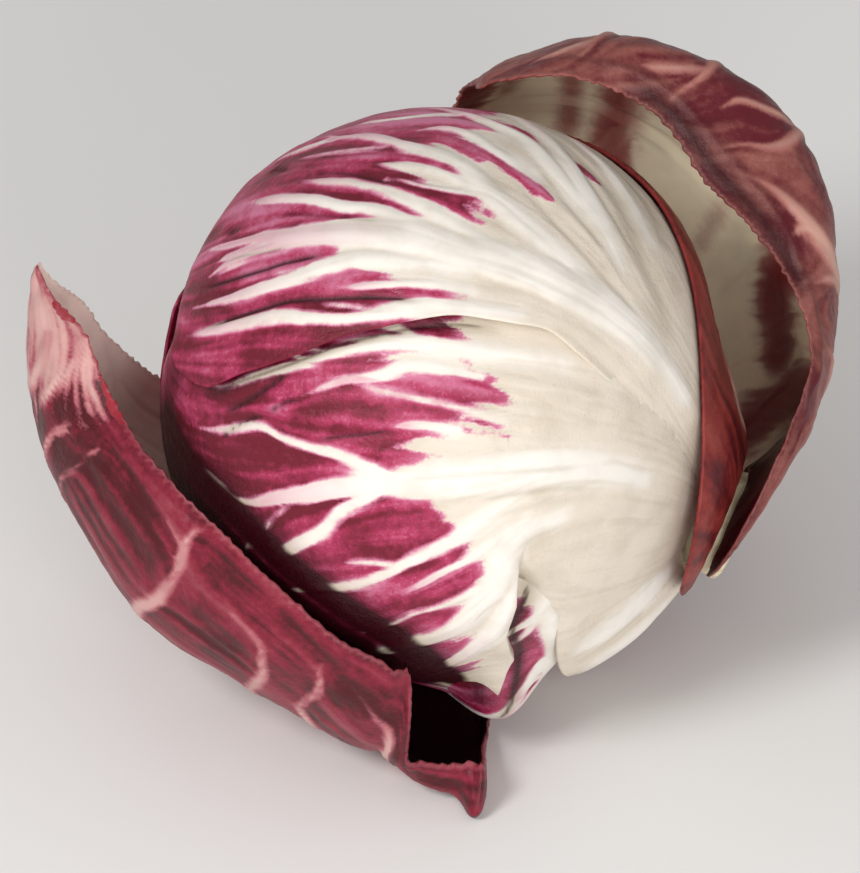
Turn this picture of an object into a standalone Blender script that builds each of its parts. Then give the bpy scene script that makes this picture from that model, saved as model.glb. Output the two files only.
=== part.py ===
"""Radicchio head, round Chioggia kind, lying on its side as picked. Metres, +Z up, resting on z = 0.

The ball is built as the plant builds it: leaves grow from one cut stem and wrap over each other in layers.
Every leaf is laid out in the head's own coordinates. `theta` is the angle in degrees from the stem end, 0 at
the stem and 180 at the top of the head. `phi` is the turn in degrees about the stem's axis, 0 on the side that
faces the viewer, growing upward. `radius` is the distance from the middle of the head.
"""

import math

import bmesh
import bpy
import numpy as np

# Where the head lies, and how it is turned
CENTRE = np.array((0.00180, -0.0094, 0.0558))
STEM_AZIMUTH = -12.7  # degrees from +X, seen from above
STEM_DROP = 20.1  # degrees that the stem end points below level
FRONT_LIFT = 38.0  # degrees above level from which the front of the head is seen

# The ball's layers, as radii of the middle of each leaf
LAYER_STEP = 0.0018
LOOSE_LAYER = 0.0544
UPPER_LAYER = 0.0524
FRONT_LAYER = UPPER_LAYER - LAYER_STEP
LOWER_LAYER = FRONT_LAYER - LAYER_STEP
INNER_LAYER = 0.0462
INNER_STEP = 0.0026
INNER_COUNT = 8
HEART_RADIUS = 0.0248

# Where the ball is not round: it is flat behind the stem, and bulges downward beside the stub
SQUEEZE_THETA = 30
SQUEEZE_THETA_REACH = 24
SQUEEZE_PHI = 85
SQUEEZE_PHI_REACH = 45
SQUEEZE_START = (10, 26)  # theta over which it sets in beside the stem
SQUEEZE_DEPTH = 0.0040
BELLY_THETA = 57
BELLY_THETA_REACH = 9
BELLY_NEAR_SIDE = (-62, -88)  # phi over which the bulge rises, seen from the front
BELLY_FAR_SIDE = (-96, -112)  # phi over which it sinks again
BELLY_HEIGHT = 0.0080

# How far the leaf behind the ball leaves it near the stem, and where
LOOSE_STAND_OFF = 0.0024
STAND_OFF_START = (11, 16)
STAND_OFF_END = (24, 36)
STAND_OFF_FAR_SIDE = (100, 130)

# The leaves inside the ball: how wide each wraps, and where the first one faces
LEAF_ANGLE = 137.5  # the turn from one leaf to the next on the plant
FIRST_LEAF_PHI = 30
BASE_HALF_WIDTH = 70
TOP_HALF_WIDTH = 112

# Leaf thickness, and the room left between solids that touch on the plant
LEAF_THICKNESS = 0.0012
STUB_THICKNESS = 0.0016
INNER_THICKNESS = 0.0014
STEM_CLEARANCE = 0.0006
RIM_THINNING = 0.55

# The stem: a core that widens from the heart to the cut end
CORE_END_RADIUS = 0.0055
CUT_END_RADIUS = 0.0105
CORE_START = 0.0252
CORE_LENGTH = 0.0334
CUT_BEVEL = 0.0010

WHITE_RIB = (0.86, 0.79, 0.70, 1.0)
STEM_CREAM = (0.80, 0.72, 0.56, 1.0)
PURPLE = (0.34, 0.035, 0.085, 1.0)
BURGUNDY = (0.22, 0.015, 0.035, 1.0)
PALE_HEART = (0.85, 0.78, 0.55, 1.0)


def unit(vector):
    return vector / np.linalg.norm(vector)


def head_axes():
    """The stem's direction, the direction of the head's front, and the one at a right angle to both."""
    azimuth, drop, lift = (math.radians(a) for a in (STEM_AZIMUTH, STEM_DROP, FRONT_LIFT))
    stemward = np.array((math.cos(azimuth) * math.cos(drop), math.sin(azimuth) * math.cos(drop), -math.sin(drop)))
    viewer = np.array((0.0, -math.cos(lift), math.sin(lift)))
    front = unit(viewer - stemward * (viewer @ stemward))
    return stemward, front, np.cross(front, stemward)


STEMWARD, FRONT, UPPER = head_axes()


def head_point(theta, phi, radius):
    """World points of head coordinates, for arrays of one shape."""
    theta, phi = np.radians(theta)[..., None], np.radians(phi)[..., None]
    across = np.cos(phi) * FRONT + np.sin(phi) * UPPER
    return CENTRE + radius[..., None] * (np.cos(theta) * STEMWARD + np.sin(theta) * across)


def smooth_through(knots, values, at):
    """A smooth curve through `values` at `knots`, read at `at`. Values may be rows of several columns."""
    knots, values, at = (np.asarray(a, float) for a in (knots, values, at))
    slopes = np.gradient(values, knots, axis=0)
    i = np.clip(np.searchsorted(knots, at) - 1, 0, len(knots) - 2)
    span = knots[i + 1] - knots[i]
    t = np.clip((at - knots[i]) / span, 0, 1)
    shape = (...,) + (None,) * (values.ndim - 1)
    t, span = t[shape], span[shape]
    hermite = (2 * t**3 - 3 * t**2 + 1) * values[i] + (3 * t**2 - 2 * t**3) * values[i + 1]
    return hermite + span * ((t**3 - 2 * t**2 + t) * slopes[i] + (t**3 - t**2) * slopes[i + 1])


def ease(low, high, value):
    """0 at low, 1 at high, and a smooth step between."""
    share = np.clip((value - low) / (high - low), 0, 1)
    return share * share * (3 - 2 * share)


def squeeze(theta, phi, radius):
    """How much nearer the middle a leaf lies behind the stem, where the ball is a little flat."""
    turn = (phi - SQUEEZE_PHI + 180) % 360 - 180
    flat = np.exp(-(((theta - SQUEEZE_THETA) / SQUEEZE_THETA_REACH) ** 2) - (turn / SQUEEZE_PHI_REACH) ** 2)
    return -SQUEEZE_DEPTH * flat * ease(*SQUEEZE_START, theta) * np.clip(radius / HEART_RADIUS - 1, 0, 1)


def belly(theta, phi, share):
    """The bulge of the ball beside the stub, under the front leaf's corner."""
    bulge = np.exp(-(((theta - BELLY_THETA) / BELLY_THETA_REACH) ** 2))
    return BELLY_HEIGHT * bulge * ease(*BELLY_NEAR_SIDE, phi) * (1 - ease(*BELLY_FAR_SIDE, phi))


def stem_radius(height):
    """The stem's radius at a distance from the middle of the head along its axis."""
    share = np.clip((height - CORE_START) / CORE_LENGTH, 0, 1)
    return CORE_END_RADIUS + (CUT_END_RADIUS - CORE_END_RADIUS) * share


def first_theta(radius, thickness=LEAF_THICKNESS):
    """The angle at which a leaf of this radius meets the side of the stem."""
    inner = radius - thickness / 2
    return math.degrees(math.asin((stem_radius(radius) + STEM_CLEARANCE) / inner))


def wrapper_surface(outline, radius, tip_round, rows, columns, lift=None, slant=0):
    """The middle of a leaf that follows the ball: a grid between two side edges, with a rounded top edge.

    `outline` holds (theta, low phi, high phi) from the stem up. `lift` adds to the radius. `slant` makes the top
    edge longer toward the high side.
    """
    outline = np.array(outline, float)
    start = max(outline[0, 0], first_theta(radius))
    last = outline[-1, 0]
    # Rows are closer together where the outline has more stations, so that a step in the edge stays smooth.
    station = np.interp(np.linspace(0, 1, rows + 1), np.linspace(0, 1, len(outline)), outline[:, 0])[:, None]
    across = np.linspace(-1, 1, columns + 1)[None, :]
    end = last - tip_round * across**2 + slant * across
    theta = start + (np.maximum(station, start) - start) * (end - start) / (last - start)
    low = smooth_through(outline[:, 0], outline[:, 1], theta)
    high = smooth_through(outline[:, 0], outline[:, 2], theta)
    phi = low + (high - low) * (across + 1) / 2
    reach = radius + squeeze(theta, phi, radius)
    if lift is not None:
        reach = reach + lift(theta, phi, (across + 1) / 2)
    return head_point(theta, phi, reach)


def free_surface(net, rows, columns):
    """The middle of a loose leaf: a smooth sheet through a net of (theta, [(phi, radius in mm), ...]) rows."""
    stations = np.array([theta for theta, _ in net], float)
    handles = np.array([handles for _, handles in net], float)
    # Rows are closer together where the stations are, so that a lobe of the rim keeps its shape.
    station = np.interp(np.linspace(0, 1, rows + 1), np.linspace(0, 1, len(stations)), stations)
    spread = smooth_through(stations, handles, station)
    steps = np.linspace(0, 1, handles.shape[1])
    sheet = smooth_through(steps, np.swapaxes(spread, 0, 1), np.linspace(0, 1, columns + 1))
    phi, radius = np.moveaxis(np.swapaxes(sheet, 0, 1), -1, 0)
    theta = np.broadcast_to(station[:, None], phi.shape)
    return head_point(theta, phi, radius / 1000)


def sheet_normals(points):
    along, across = np.gradient(points, axis=0), np.gradient(points, axis=1)
    normals = np.cross(along, across)
    normals /= np.linalg.norm(normals, axis=-1, keepdims=True)
    outward = ((points - CENTRE) * normals).sum(-1).mean()
    return normals if outward > 0 else -normals


def material(name, colour, roughness):
    made = bpy.data.materials.new(name)
    made.use_nodes = True
    shader = made.node_tree.nodes["Principled BSDF"]
    shader.inputs["Base Color"].default_value = colour
    shader.inputs["Roughness"].default_value = roughness
    shader.inputs["Metallic"].default_value = 0.0
    return made


def add_object(name, mesh, colour, roughness):
    for face in mesh.polygons:
        face.use_smooth = True
    mesh.materials.append(material(name, colour, roughness))
    made = bpy.data.objects.new(name, mesh)
    bpy.context.scene.collection.objects.link(made)
    return made


def leaf_solid(name, points, thickness, colour, on_table=False):
    """A closed leaf from the grid of its middle: two skins, thinner toward the rim, joined by a strip round it."""
    rows, columns = points.shape[:2]
    normals = sheet_normals(points)
    thick = np.ones((rows, columns))
    thick[:, 0] = thick[:, -1] = thick[-1] = RIM_THINNING
    half = thickness / 2 * thick[..., None]
    outer, inner = points + normals * half, points - normals * half
    if on_table:
        outer[..., 2] = np.maximum(outer[..., 2], 0)
        inner[..., 2] = np.maximum(inner[..., 2], outer[..., 2] + 0.5 * thickness)
        inner[..., 2] = np.where(outer[..., 2] < 1e-9, np.maximum(inner[..., 2], thickness), inner[..., 2])
    build = bmesh.new()
    skins = [[[build.verts.new(p) for p in row] for row in skin] for skin in (outer, inner)]
    for skin, flip in zip(skins, (False, True)):
        for i in range(rows - 1):
            for j in range(columns - 1):
                corners = [skin[i][j], skin[i + 1][j], skin[i + 1][j + 1], skin[i][j + 1]]
                build.faces.new(corners[::-1] if flip else corners)
    ring = [(i, 0) for i in range(rows)] + [(rows - 1, j) for j in range(1, columns)]
    ring += [(i, columns - 1) for i in range(rows - 2, -1, -1)] + [(0, j) for j in range(columns - 2, 0, -1)]
    for (i, j), (k, m) in zip(ring, ring[1:] + ring[:1]):
        build.faces.new([skins[0][k][m], skins[0][i][j], skins[1][i][j], skins[1][k][m]])
    bmesh.ops.triangulate(build, faces=build.faces)
    bmesh.ops.recalc_face_normals(build, faces=build.faces)
    mesh = bpy.data.meshes.new(name)
    build.to_mesh(mesh)
    build.free()
    return add_object(name, mesh, colour, 0.45)


def spun_solid(name, profile, turns, colour):
    """A solid of revolution about the stem's axis from (height, radius) pairs, closed by a point at each end."""
    build = bmesh.new()
    ends = [build.verts.new(CENTRE + STEMWARD * profile[0][0]), build.verts.new(CENTRE + STEMWARD * profile[-1][0])]
    rings = []
    for height, radius in profile[1:-1]:
        angles = np.linspace(0, 2 * math.pi, turns, endpoint=False)
        spokes = np.cos(angles)[:, None] * FRONT + np.sin(angles)[:, None] * UPPER
        rings.append([build.verts.new(p) for p in CENTRE + STEMWARD * height + spokes * radius])
    for lower, upper in zip(rings, rings[1:]):
        for k in range(turns):
            m = (k + 1) % turns
            build.faces.new([lower[k], lower[m], upper[m], upper[k]])
    for end, ring in zip(ends, (rings[0], rings[-1])):
        for k in range(turns):
            build.faces.new([end, ring[k], ring[(k + 1) % turns]])
    bmesh.ops.triangulate(build, faces=build.faces)
    bmesh.ops.recalc_face_normals(build, faces=build.faces)
    mesh = bpy.data.meshes.new(name)
    build.to_mesh(mesh)
    build.free()
    return add_object(name, mesh, colour, 0.6)


def add_stem():
    end = CORE_START + CORE_LENGTH
    profile = [
        (CORE_START, 0.0),
        (CORE_START, CORE_END_RADIUS),
        (end - CUT_BEVEL, CUT_END_RADIUS),
        (end, CUT_END_RADIUS - CUT_BEVEL),
        (end, 0.0),
    ]
    return spun_solid("stem", profile, 28, STEM_CREAM)


def add_heart():
    angles = np.linspace(0, math.pi, 11)
    profile = [(HEART_RADIUS * math.cos(a), HEART_RADIUS * math.sin(a)) for a in angles]
    return spun_solid("heart_bud", profile, 20, PALE_HEART)


def add_inner_leaves():
    """Leaves packed one inside the other, each turned on from the last by the plant's own leaf angle."""
    for number in range(INNER_COUNT):
        middle = FIRST_LEAF_PHI + LEAF_ANGLE * number
        outline = [
            (8, middle - BASE_HALF_WIDTH, middle + BASE_HALF_WIDTH),
            (60, middle - TOP_HALF_WIDTH + 2, middle + TOP_HALF_WIDTH - 2),
            (178.5, middle - TOP_HALF_WIDTH, middle + TOP_HALF_WIDTH),
        ]
        radius = INNER_LAYER - INNER_STEP * number
        sheet = wrapper_surface(outline, radius, 0.5, 8, 12)
        leaf_solid(f"inner_leaf_{number + 1}", sheet, INNER_THICKNESS, WHITE_RIB)


def add_ball_leaves():
    """The tight leaves that make the outside of the ball, from the outermost layer in."""
    under = [(12, -190, -118), (60, -204, -110), (110, -206, -108), (150, -200, -112), (166, -196, -116)]
    leaf_solid("wrapper_under", wrapper_surface(under, UPPER_LAYER, 10, 15, 10), LEAF_THICKNESS, PURPLE)

    upper = [(12, 6, 84), (40, 18, 92), (63, 20, 96), (80, 20, 98), (97, 16, 100), (113, 5.5, 100)]
    upper += [(129, -12, 98), (146, -27, 92), (168, -40, 84)]
    leaf_solid("wrapper_upper", wrapper_surface(upper, UPPER_LAYER, 10, 16, 13), LEAF_THICKNESS, WHITE_RIB)

    front = [(12, -30, 28), (28, -26, 32), (42, -22, 34), (51, -25, 34), (56, -38, 34), (61, -57, 34), (66, -78, 33)]
    front += [(74, -97, 33), (86, -104, 30), (102, -105, 25), (118, -102, 20), (134, -99, 14), (150, -97, 8)]
    front += [(166, -96, 2)]
    leaf_solid("wrapper_front", wrapper_surface(front, FRONT_LAYER, 10, 26, 14, belly), LEAF_THICKNESS, WHITE_RIB)

    back = [(12, 70, 190), (60, 58, 212), (120, 52, 214), (172, 50, 205)]
    leaf_solid("wrapper_back", wrapper_surface(back, FRONT_LAYER, 8, 13, 14), LEAF_THICKNESS, PURPLE)

    lower = [(12, -150, -10), (60, -172, -8), (120, -172, -10), (168, -160, -14)]
    leaf_solid("wrapper_lower", wrapper_surface(lower, LOWER_LAYER, 10, 16, 18, belly), LEAF_THICKNESS, PURPLE)


def add_loose_wrapper():
    """The leaf behind the ball, which leaves it a little along its front edge."""

    def flare(theta, phi, share):
        stands_off = ease(*STAND_OFF_START, theta) * (1 - ease(*STAND_OFF_END, theta))
        return LOOSE_STAND_OFF * stands_off * (1 - ease(*STAND_OFF_FAR_SIDE, phi))

    outline = [(12, 0, 170), (18, 2, 182), (24, 8, 190), (32, 24, 196), (40, 40, 200), (50, 59, 203)]
    outline += [(62, 74, 205), (78, 90, 205), (98, 106, 204), (122, 116, 202), (148, 122, 196)]
    sheet = wrapper_surface(outline, LOOSE_LAYER, 12, 16, 15, flare)
    leaf_solid("wrapper_rear_loose", sheet, LEAF_THICKNESS, BURGUNDY)


def add_stub():
    """What is left at the base of a leaf that was broken off."""
    outline = [(12, -98, -14), (26, -101, -20), (38, -100, -30), (46, -95, -40)]
    sheet = wrapper_surface(outline, LOOSE_LAYER, 1, 7, 10, slant=4)
    leaf_solid("leaf_stub", sheet, STUB_THICKNESS, WHITE_RIB)


# Each net row runs across the leaf, from the rim nearest the viewer to the far rim.
REAR_NET = [
    (11.3, [(-62, 57.4), (-35, 57.4), (20, 57.4), (75, 57.4), (130, 57.4), (165, 57.4)]),
    (20, [(28, 62.5), (52, 65), (82, 66), (118, 65.5), (150, 64), (174, 63)]),
    (30, [(66, 67.3), (79, 69.5), (95, 70.5), (124, 70.5), (156, 68.5), (176, 67)]),
    (40, [(79, 67.3), (87, 72.8), (101, 74.5), (129, 73.5), (158, 70.5), (180, 69)]),
    (52, [(80, 64.6), (89, 78), (105, 78), (132, 76), (158, 73), (181, 72)]),
    (64, [(82, 62.5), (90, 79.3), (107, 79), (134, 77), (158, 74.5), (180, 73.5)]),
    (76, [(87, 64.5), (91, 77), (107, 77), (132, 76), (155, 74.5), (177, 74)]),
    (88, [(86, 64), (91, 72), (108, 73), (130, 73), (152, 72.5), (171, 73)]),
    (98, [(86, 61), (93, 64.8), (110, 67.5), (130, 69), (149, 70), (165, 71)]),
    (106.5, [(94, 57), (99, 58.5), (114, 62), (131, 64.5), (147, 66.5), (160, 68.5)]),
]

FRONT_NET = [
    (12, [(-148, 56.6), (-151, 56.6), (-155, 56.6), (-160, 56.6), (-168, 56.6), (-177, 56.6)]),
    (30, [(-130, 57), (-133, 57), (-137, 57), (-146, 57.2), (-164, 57.5), (-182, 58)]),
    (48, [(-121, 57.3), (-124, 57.3), (-128, 57.3), (-140, 57.2), (-163, 58.5), (-188, 60)]),
    (57.4, [(-112, 57.8), (-115, 57.8), (-120, 57.8), (-135, 57.2), (-162, 59), (-190, 61)]),
    (59.4, [(-91, 62.5), (-98, 61.8), (-109, 60), (-133, 57.2), (-162, 59), (-190, 61.2)]),
    (61.2, [(-79, 67.5), (-85, 72), (-103, 64), (-132, 57.2), (-162, 59), (-190, 61.5)]),
    (62.6, [(-80, 67), (-83.5, 75.3), (-103, 64.5), (-132, 57.2), (-163, 59), (-190, 62)]),
    (64.3, [(-80.5, 66.8), (-86.5, 71.6), (-103, 64.2), (-132, 57.2), (-163, 59), (-190, 62)]),
    (67.6, [(-80.5, 66.6), (-87, 69.8), (-102, 63.6), (-132, 57.2), (-163, 59.5), (-190, 62.5)]),
    (70.6, [(-80, 66.2), (-87, 68.4), (-101.5, 63.3), (-131, 57.2), (-163, 59.5), (-190, 62.8)]),
    (73.0, [(-79.5, 65.6), (-87, 66.8), (-101, 63), (-131, 57.2), (-163, 59.5), (-190, 62.9)]),
    (74.3, [(-70, 61.5), (-84, 66), (-100.5, 62.8), (-131, 57.2), (-163, 59.5), (-190, 63)]),
    (75.5, [(-65, 57.6), (-80, 64.5), (-100, 62.5), (-131, 57.2), (-163, 59.5), (-190, 63)]),
    (80, [(-60, 57), (-77.5, 63.2), (-95, 63.6), (-131, 57.3), (-163, 59.5), (-189, 63)]),
    (90, [(-58, 56.2), (-74, 60), (-93, 62.2), (-130, 57.5), (-161, 60), (-187, 63)]),
    (105, [(-53.5, 56), (-70, 60.5), (-91, 62.6), (-129, 59), (-158, 61), (-180, 63)]),
    (120, [(-52, 56.2), (-70, 62), (-91, 66.3), (-127, 62), (-152, 62), (-168, 62)]),
    (134, [(-54.5, 57.5), (-70, 63.5), (-92, 68.2), (-122, 66), (-143, 64.5), (-157, 61.5)]),
    (147, [(-60, 60), (-74, 66), (-93, 71.5), (-115, 71), (-134, 67), (-150, 61.5)]),
    (158, [(-65, 63), (-78, 69.5), (-95, 74), (-112, 73.5), (-130, 69), (-147, 66)]),
    (167, [(-64, 69), (-80, 73), (-98, 75.5), (-112, 75.5), (-128, 73), (-142, 70)]),
    (174, [(-100, 77), (-105, 77.2), (-110, 77.4), (-114, 77.4), (-118, 77.2), (-122, 77)]),
]


def add_outer_leaves():
    leaf_solid("outer_leaf_rear", free_surface(REAR_NET, 18, 15), LEAF_THICKNESS, BURGUNDY)
    leaf_solid("outer_leaf_front", free_surface(FRONT_NET, 42, 16), LEAF_THICKNESS, BURGUNDY, on_table=True)


def main():
    for old in list(bpy.data.objects):
        bpy.data.objects.remove(old, do_unlink=True)
    add_stem()
    add_heart()
    add_inner_leaves()
    add_ball_leaves()
    add_loose_wrapper()
    add_stub()
    add_outer_leaves()


main()
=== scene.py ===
# %% [markdown]
# # A head of red radicchio
# Round red radicchio is a ball of tightly wrapped leaves on one short stem. Each leaf has a thick white rib
# that forks toward the rim, and the thin blade between the forks is purple. Two loose outer leaves, more red
# and with a finely toothed rim, still hang on from the field. The head lies on its side on a table.
#
# The whole head is made the way the plant makes it: one leaf at a time, each as a fine grid of points laid
# round the head. Veins, folds and colour are then worked out for every point of the grid, so that the raised
# veins, the white lines and the frayed purple patches all agree with each other.

# %% Load the frame
import math

import bpy
import numpy as np
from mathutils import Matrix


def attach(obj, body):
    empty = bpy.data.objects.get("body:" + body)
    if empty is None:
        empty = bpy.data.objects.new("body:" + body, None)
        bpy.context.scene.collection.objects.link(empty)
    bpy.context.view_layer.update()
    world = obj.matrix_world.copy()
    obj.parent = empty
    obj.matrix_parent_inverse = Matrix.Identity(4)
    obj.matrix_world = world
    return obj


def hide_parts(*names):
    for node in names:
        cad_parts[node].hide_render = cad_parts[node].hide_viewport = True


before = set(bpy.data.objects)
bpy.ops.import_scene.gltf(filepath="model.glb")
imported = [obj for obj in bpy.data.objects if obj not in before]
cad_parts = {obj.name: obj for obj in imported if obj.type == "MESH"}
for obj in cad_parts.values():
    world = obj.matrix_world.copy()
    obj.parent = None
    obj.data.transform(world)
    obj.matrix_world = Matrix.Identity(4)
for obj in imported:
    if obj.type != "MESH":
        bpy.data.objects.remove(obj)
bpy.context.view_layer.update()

# %% [markdown]
# ## The head's own coordinates
# A leaf that wraps a ball is easiest to describe with angles. `theta` runs from 0 at the stem to 180 at the
# top of the head, `phi` turns about the stem's axis, and the radius is the distance from the middle. The
# numbers here are the frame's own, so that every leaf lands on the solid that it stands for.

# %% Head coordinates
CENTRE = np.array((0.00180, -0.0094, 0.0558))
STEM_AZIMUTH, STEM_DROP, FRONT_LIFT = -12.7, 20.1, 38.0
MM = 1000.0

# The layers of the ball, from outside in, as distances from the middle of the head
LOOSE, UPPER_R, FRONT_R, LOWER_R = 0.0544, 0.0524, 0.0506, 0.0488
INNER_R, INNER_STEP, INNER_COUNT, HEART_R = 0.0462, 0.0026, 8, 0.0242
LEAF, STUB, INNER_LEAF = 0.0012, 0.0016, 0.0014

# Each leaf grows this far round the stem from the one before
LEAF_ANGLE, FIRST_LEAF_PHI = 137.5, 30

# The core that the leaves grow from, from the heart to the cut end
CORE_START, CORE_LENGTH, CORE_R, CUT_R = 0.0252, 0.0334, 0.0055, 0.0105


def unit(vector):
    return vector / np.maximum(np.linalg.norm(vector, axis=-1, keepdims=True), 1e-12)


def head_axes():
    az, drop, lift = (math.radians(a) for a in (STEM_AZIMUTH, STEM_DROP, FRONT_LIFT))
    stemward = np.array((math.cos(az) * math.cos(drop), math.sin(az) * math.cos(drop), -math.sin(drop)))
    viewer = np.array((0.0, -math.cos(lift), math.sin(lift)))
    front = unit(viewer - stemward * (viewer @ stemward))
    return stemward, front, np.cross(front, stemward)


STEMWARD, FRONT, UPPER = head_axes()


def head_point(theta, phi, radius):
    theta, phi = np.radians(theta)[..., None], np.radians(phi)[..., None]
    across = np.cos(phi) * FRONT + np.sin(phi) * UPPER
    return CENTRE + radius[..., None] * (np.cos(theta) * STEMWARD + np.sin(theta) * across)


def smooth_through(knots, values, at):
    """A smooth curve through values at knots, read at `at`. Values may be rows of several columns."""
    knots, values, at = (np.asarray(a, float) for a in (knots, values, at))
    slopes = np.gradient(values, knots, axis=0)
    i = np.clip(np.searchsorted(knots, at) - 1, 0, len(knots) - 2)
    span = knots[i + 1] - knots[i]
    t = np.clip((at - knots[i]) / span, 0, 1)
    shape = (...,) + (None,) * (values.ndim - 1)
    t, span = t[shape], span[shape]
    curve = (2 * t**3 - 3 * t**2 + 1) * values[i] + (3 * t**2 - 2 * t**3) * values[i + 1]
    return curve + span * ((t**3 - 2 * t**2 + t) * slopes[i] + (t**3 - t**2) * slopes[i + 1])


def ease(low, high, value):
    """0 below low, 1 above high, and a smooth step between."""
    t = np.clip((value - low) / (high - low), 0, 1)
    return t * t * (3 - 2 * t)


SQUEEZE_THETA, SQUEEZE_PHI, SQUEEZE_DEPTH = 30, 85, 4.0
BELLY_THETA, BELLY_HEIGHT = 57, 8.0


def squeeze(theta, phi, radius):
    """The ball is a little flat behind the stem, in mm. The inner leaves feel it less."""
    turn = (phi - SQUEEZE_PHI + 180) % 360 - 180
    flat = np.exp(-(((theta - SQUEEZE_THETA) / 24) ** 2) - (turn / 45) ** 2) * ease(10, 26, theta)
    return -SQUEEZE_DEPTH * flat * np.clip((radius - 0.024) / 0.024, 0, 1)


def belly(theta, phi):
    """The ball bulges downward beside the stub, in mm."""
    swell = BELLY_HEIGHT * np.exp(-(((theta - BELLY_THETA) / 9) ** 2))
    return swell * ease(-62, -88, phi) * (1 - ease(-96, -112, phi))


print("stem points along", STEMWARD.round(3))

# %% [markdown]
# ## Random but repeatable lumps
# Nothing on a plant is even. `speckle` gives smooth random values at any place, with lumps of a chosen size.
# A table of random numbers is read at the corners of a box lattice and blended between them, which is how
# most noise textures work. The seed makes it come out the same every time.

# %% Speckle


def speckle(places, cell, seed):
    table = np.random.default_rng(seed).random(4096)
    q = places / cell + 1000.0
    base = np.floor(q).astype(np.int64)
    f = q - base
    f = f * f * (3 - 2 * f)
    total = 0.0
    for dx, dy, dz in np.ndindex(2, 2, 2):
        weight = np.ones(f.shape[:-1])
        for axis, d in enumerate((dx, dy, dz)):
            weight = weight * (f[..., axis] if d else 1 - f[..., axis])
        x, y, z = base[..., 0] + dx, base[..., 1] + dy, base[..., 2] + dz
        total = total + weight * table[(x * 73856093 ^ y * 19349663 ^ z * 83492791) % 4096]
    return total


# %% [markdown]
# ## A leaf as a grid
# `Sheet` holds the middle of one leaf: a grid of points that runs from the stem to the tip, and from one
# side edge to the other. A tight leaf follows the ball between two side edges. A loose leaf is a smooth sheet
# through a few rows of points. Once a leaf is a grid, a place on it can be found either by its angles or by
# how far up and across the leaf it is.

# %% Sheets


def sheet_normals(points):
    normals = unit(np.cross(np.gradient(points, axis=0), np.gradient(points, axis=1)))
    outward = ((points - CENTRE) * normals).sum(-1).mean() > 0
    return (normals, False) if outward else (-normals, True)


class Sheet:
    def __init__(self, points, theta, phi, on_ball=False):
        self.points, self.theta, self.phi, self.on_ball = points, theta, phi, on_ball
        self.rows, self.columns = theta.shape
        self.up = np.linspace(0, 1, self.rows)[:, None] + np.zeros(theta.shape)
        self.over = np.linspace(0, 1, self.columns)[None, :] + np.zeros(theta.shape)
        self.refresh()

    def refresh(self):
        """Works out again what follows from the points, after they have been moved."""
        self.normals, self.flipped = sheet_normals(self.points)
        self.mm = (self.points - CENTRE) * MM
        self.radius = np.linalg.norm(self.mm, axis=-1)
        if self.on_ball:
            self.normals = unit(self.mm)

    def at_angles(self, theta, phi):
        """Places on the leaf with these angles."""
        scale = np.sin(np.radians(self.theta))
        flat = np.stack([self.theta, self.phi * scale], -1).reshape(-1, 2)
        radius = np.empty(len(theta))
        for k, (a, b) in enumerate(zip(theta, phi)):
            gap = (flat[:, 0] - a) ** 2 + (flat[:, 1] - b * math.sin(math.radians(a))) ** 2
            radius[k] = self.radius.ravel()[gap.argmin()]
        return head_point(theta, phi, radius / MM)

    def at_share(self, up, over):
        """Places this far up (0 stem, 1 tip) and across (0 to 1) the leaf."""
        row = np.interp(up, self.up[:, 0], np.arange(self.rows))
        return self.read(self.points, row, over * (self.columns - 1))

    def read(self, field, i, j):
        """The value of a field between grid points."""
        i = np.clip(i, 0, self.rows - 1.001)
        j = np.clip(j, 0, self.columns - 1.001)
        a, b = i.astype(int), j.astype(int)
        s, t = i - a, j - b
        if field.ndim == 3:
            s, t = s[..., None], t[..., None]
        near = field[a, b] * (1 - t) + field[a, b + 1] * t
        return near * (1 - s) + (field[a + 1, b] * (1 - t) + field[a + 1, b + 1] * t) * s


def stem_radius(height):
    return CORE_R + (CUT_R - CORE_R) * np.clip((height - CORE_START) / CORE_LENGTH, 0, 1)


def wrapper_sheet(outline, radius, tip_round, rows, columns, lift=None, slant=0, bend=None):
    """A leaf that follows the ball between two side edges, given as (theta, low phi, high phi)."""
    outline = np.array(outline, float)
    meets_stem = math.degrees(math.asin((stem_radius(radius) + 0.0004) / (radius - LEAF / 2)))
    start, last = max(outline[0, 0], meets_stem), outline[-1, 0]
    steps = np.interp(np.linspace(0, 1, rows + 1), np.linspace(0, 1, len(outline)), outline[:, 0])[:, None]
    across = np.linspace(-1, 1, columns + 1)[None, :]
    end = last - tip_round * across**2 + slant * across
    theta = start + (np.maximum(steps, start) - start) * (end - start) / (last - start)
    low = smooth_through(outline[:, 0], outline[:, 1], theta)
    high = smooth_through(outline[:, 0], outline[:, 2], theta)
    phi = low + (high - low) * (across + 1) / 2
    reach, flat_theta = radius + squeeze(theta, phi, radius) / MM, theta
    if lift is not None:
        reach = reach + lift(theta, phi, (across + 1) / 2) / MM
    if bend is not None:
        theta = theta + bend(theta, phi)
    made = Sheet(head_point(theta, phi, reach), theta, phi, on_ball=True)
    made.flat_theta = flat_theta
    return made


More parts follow.
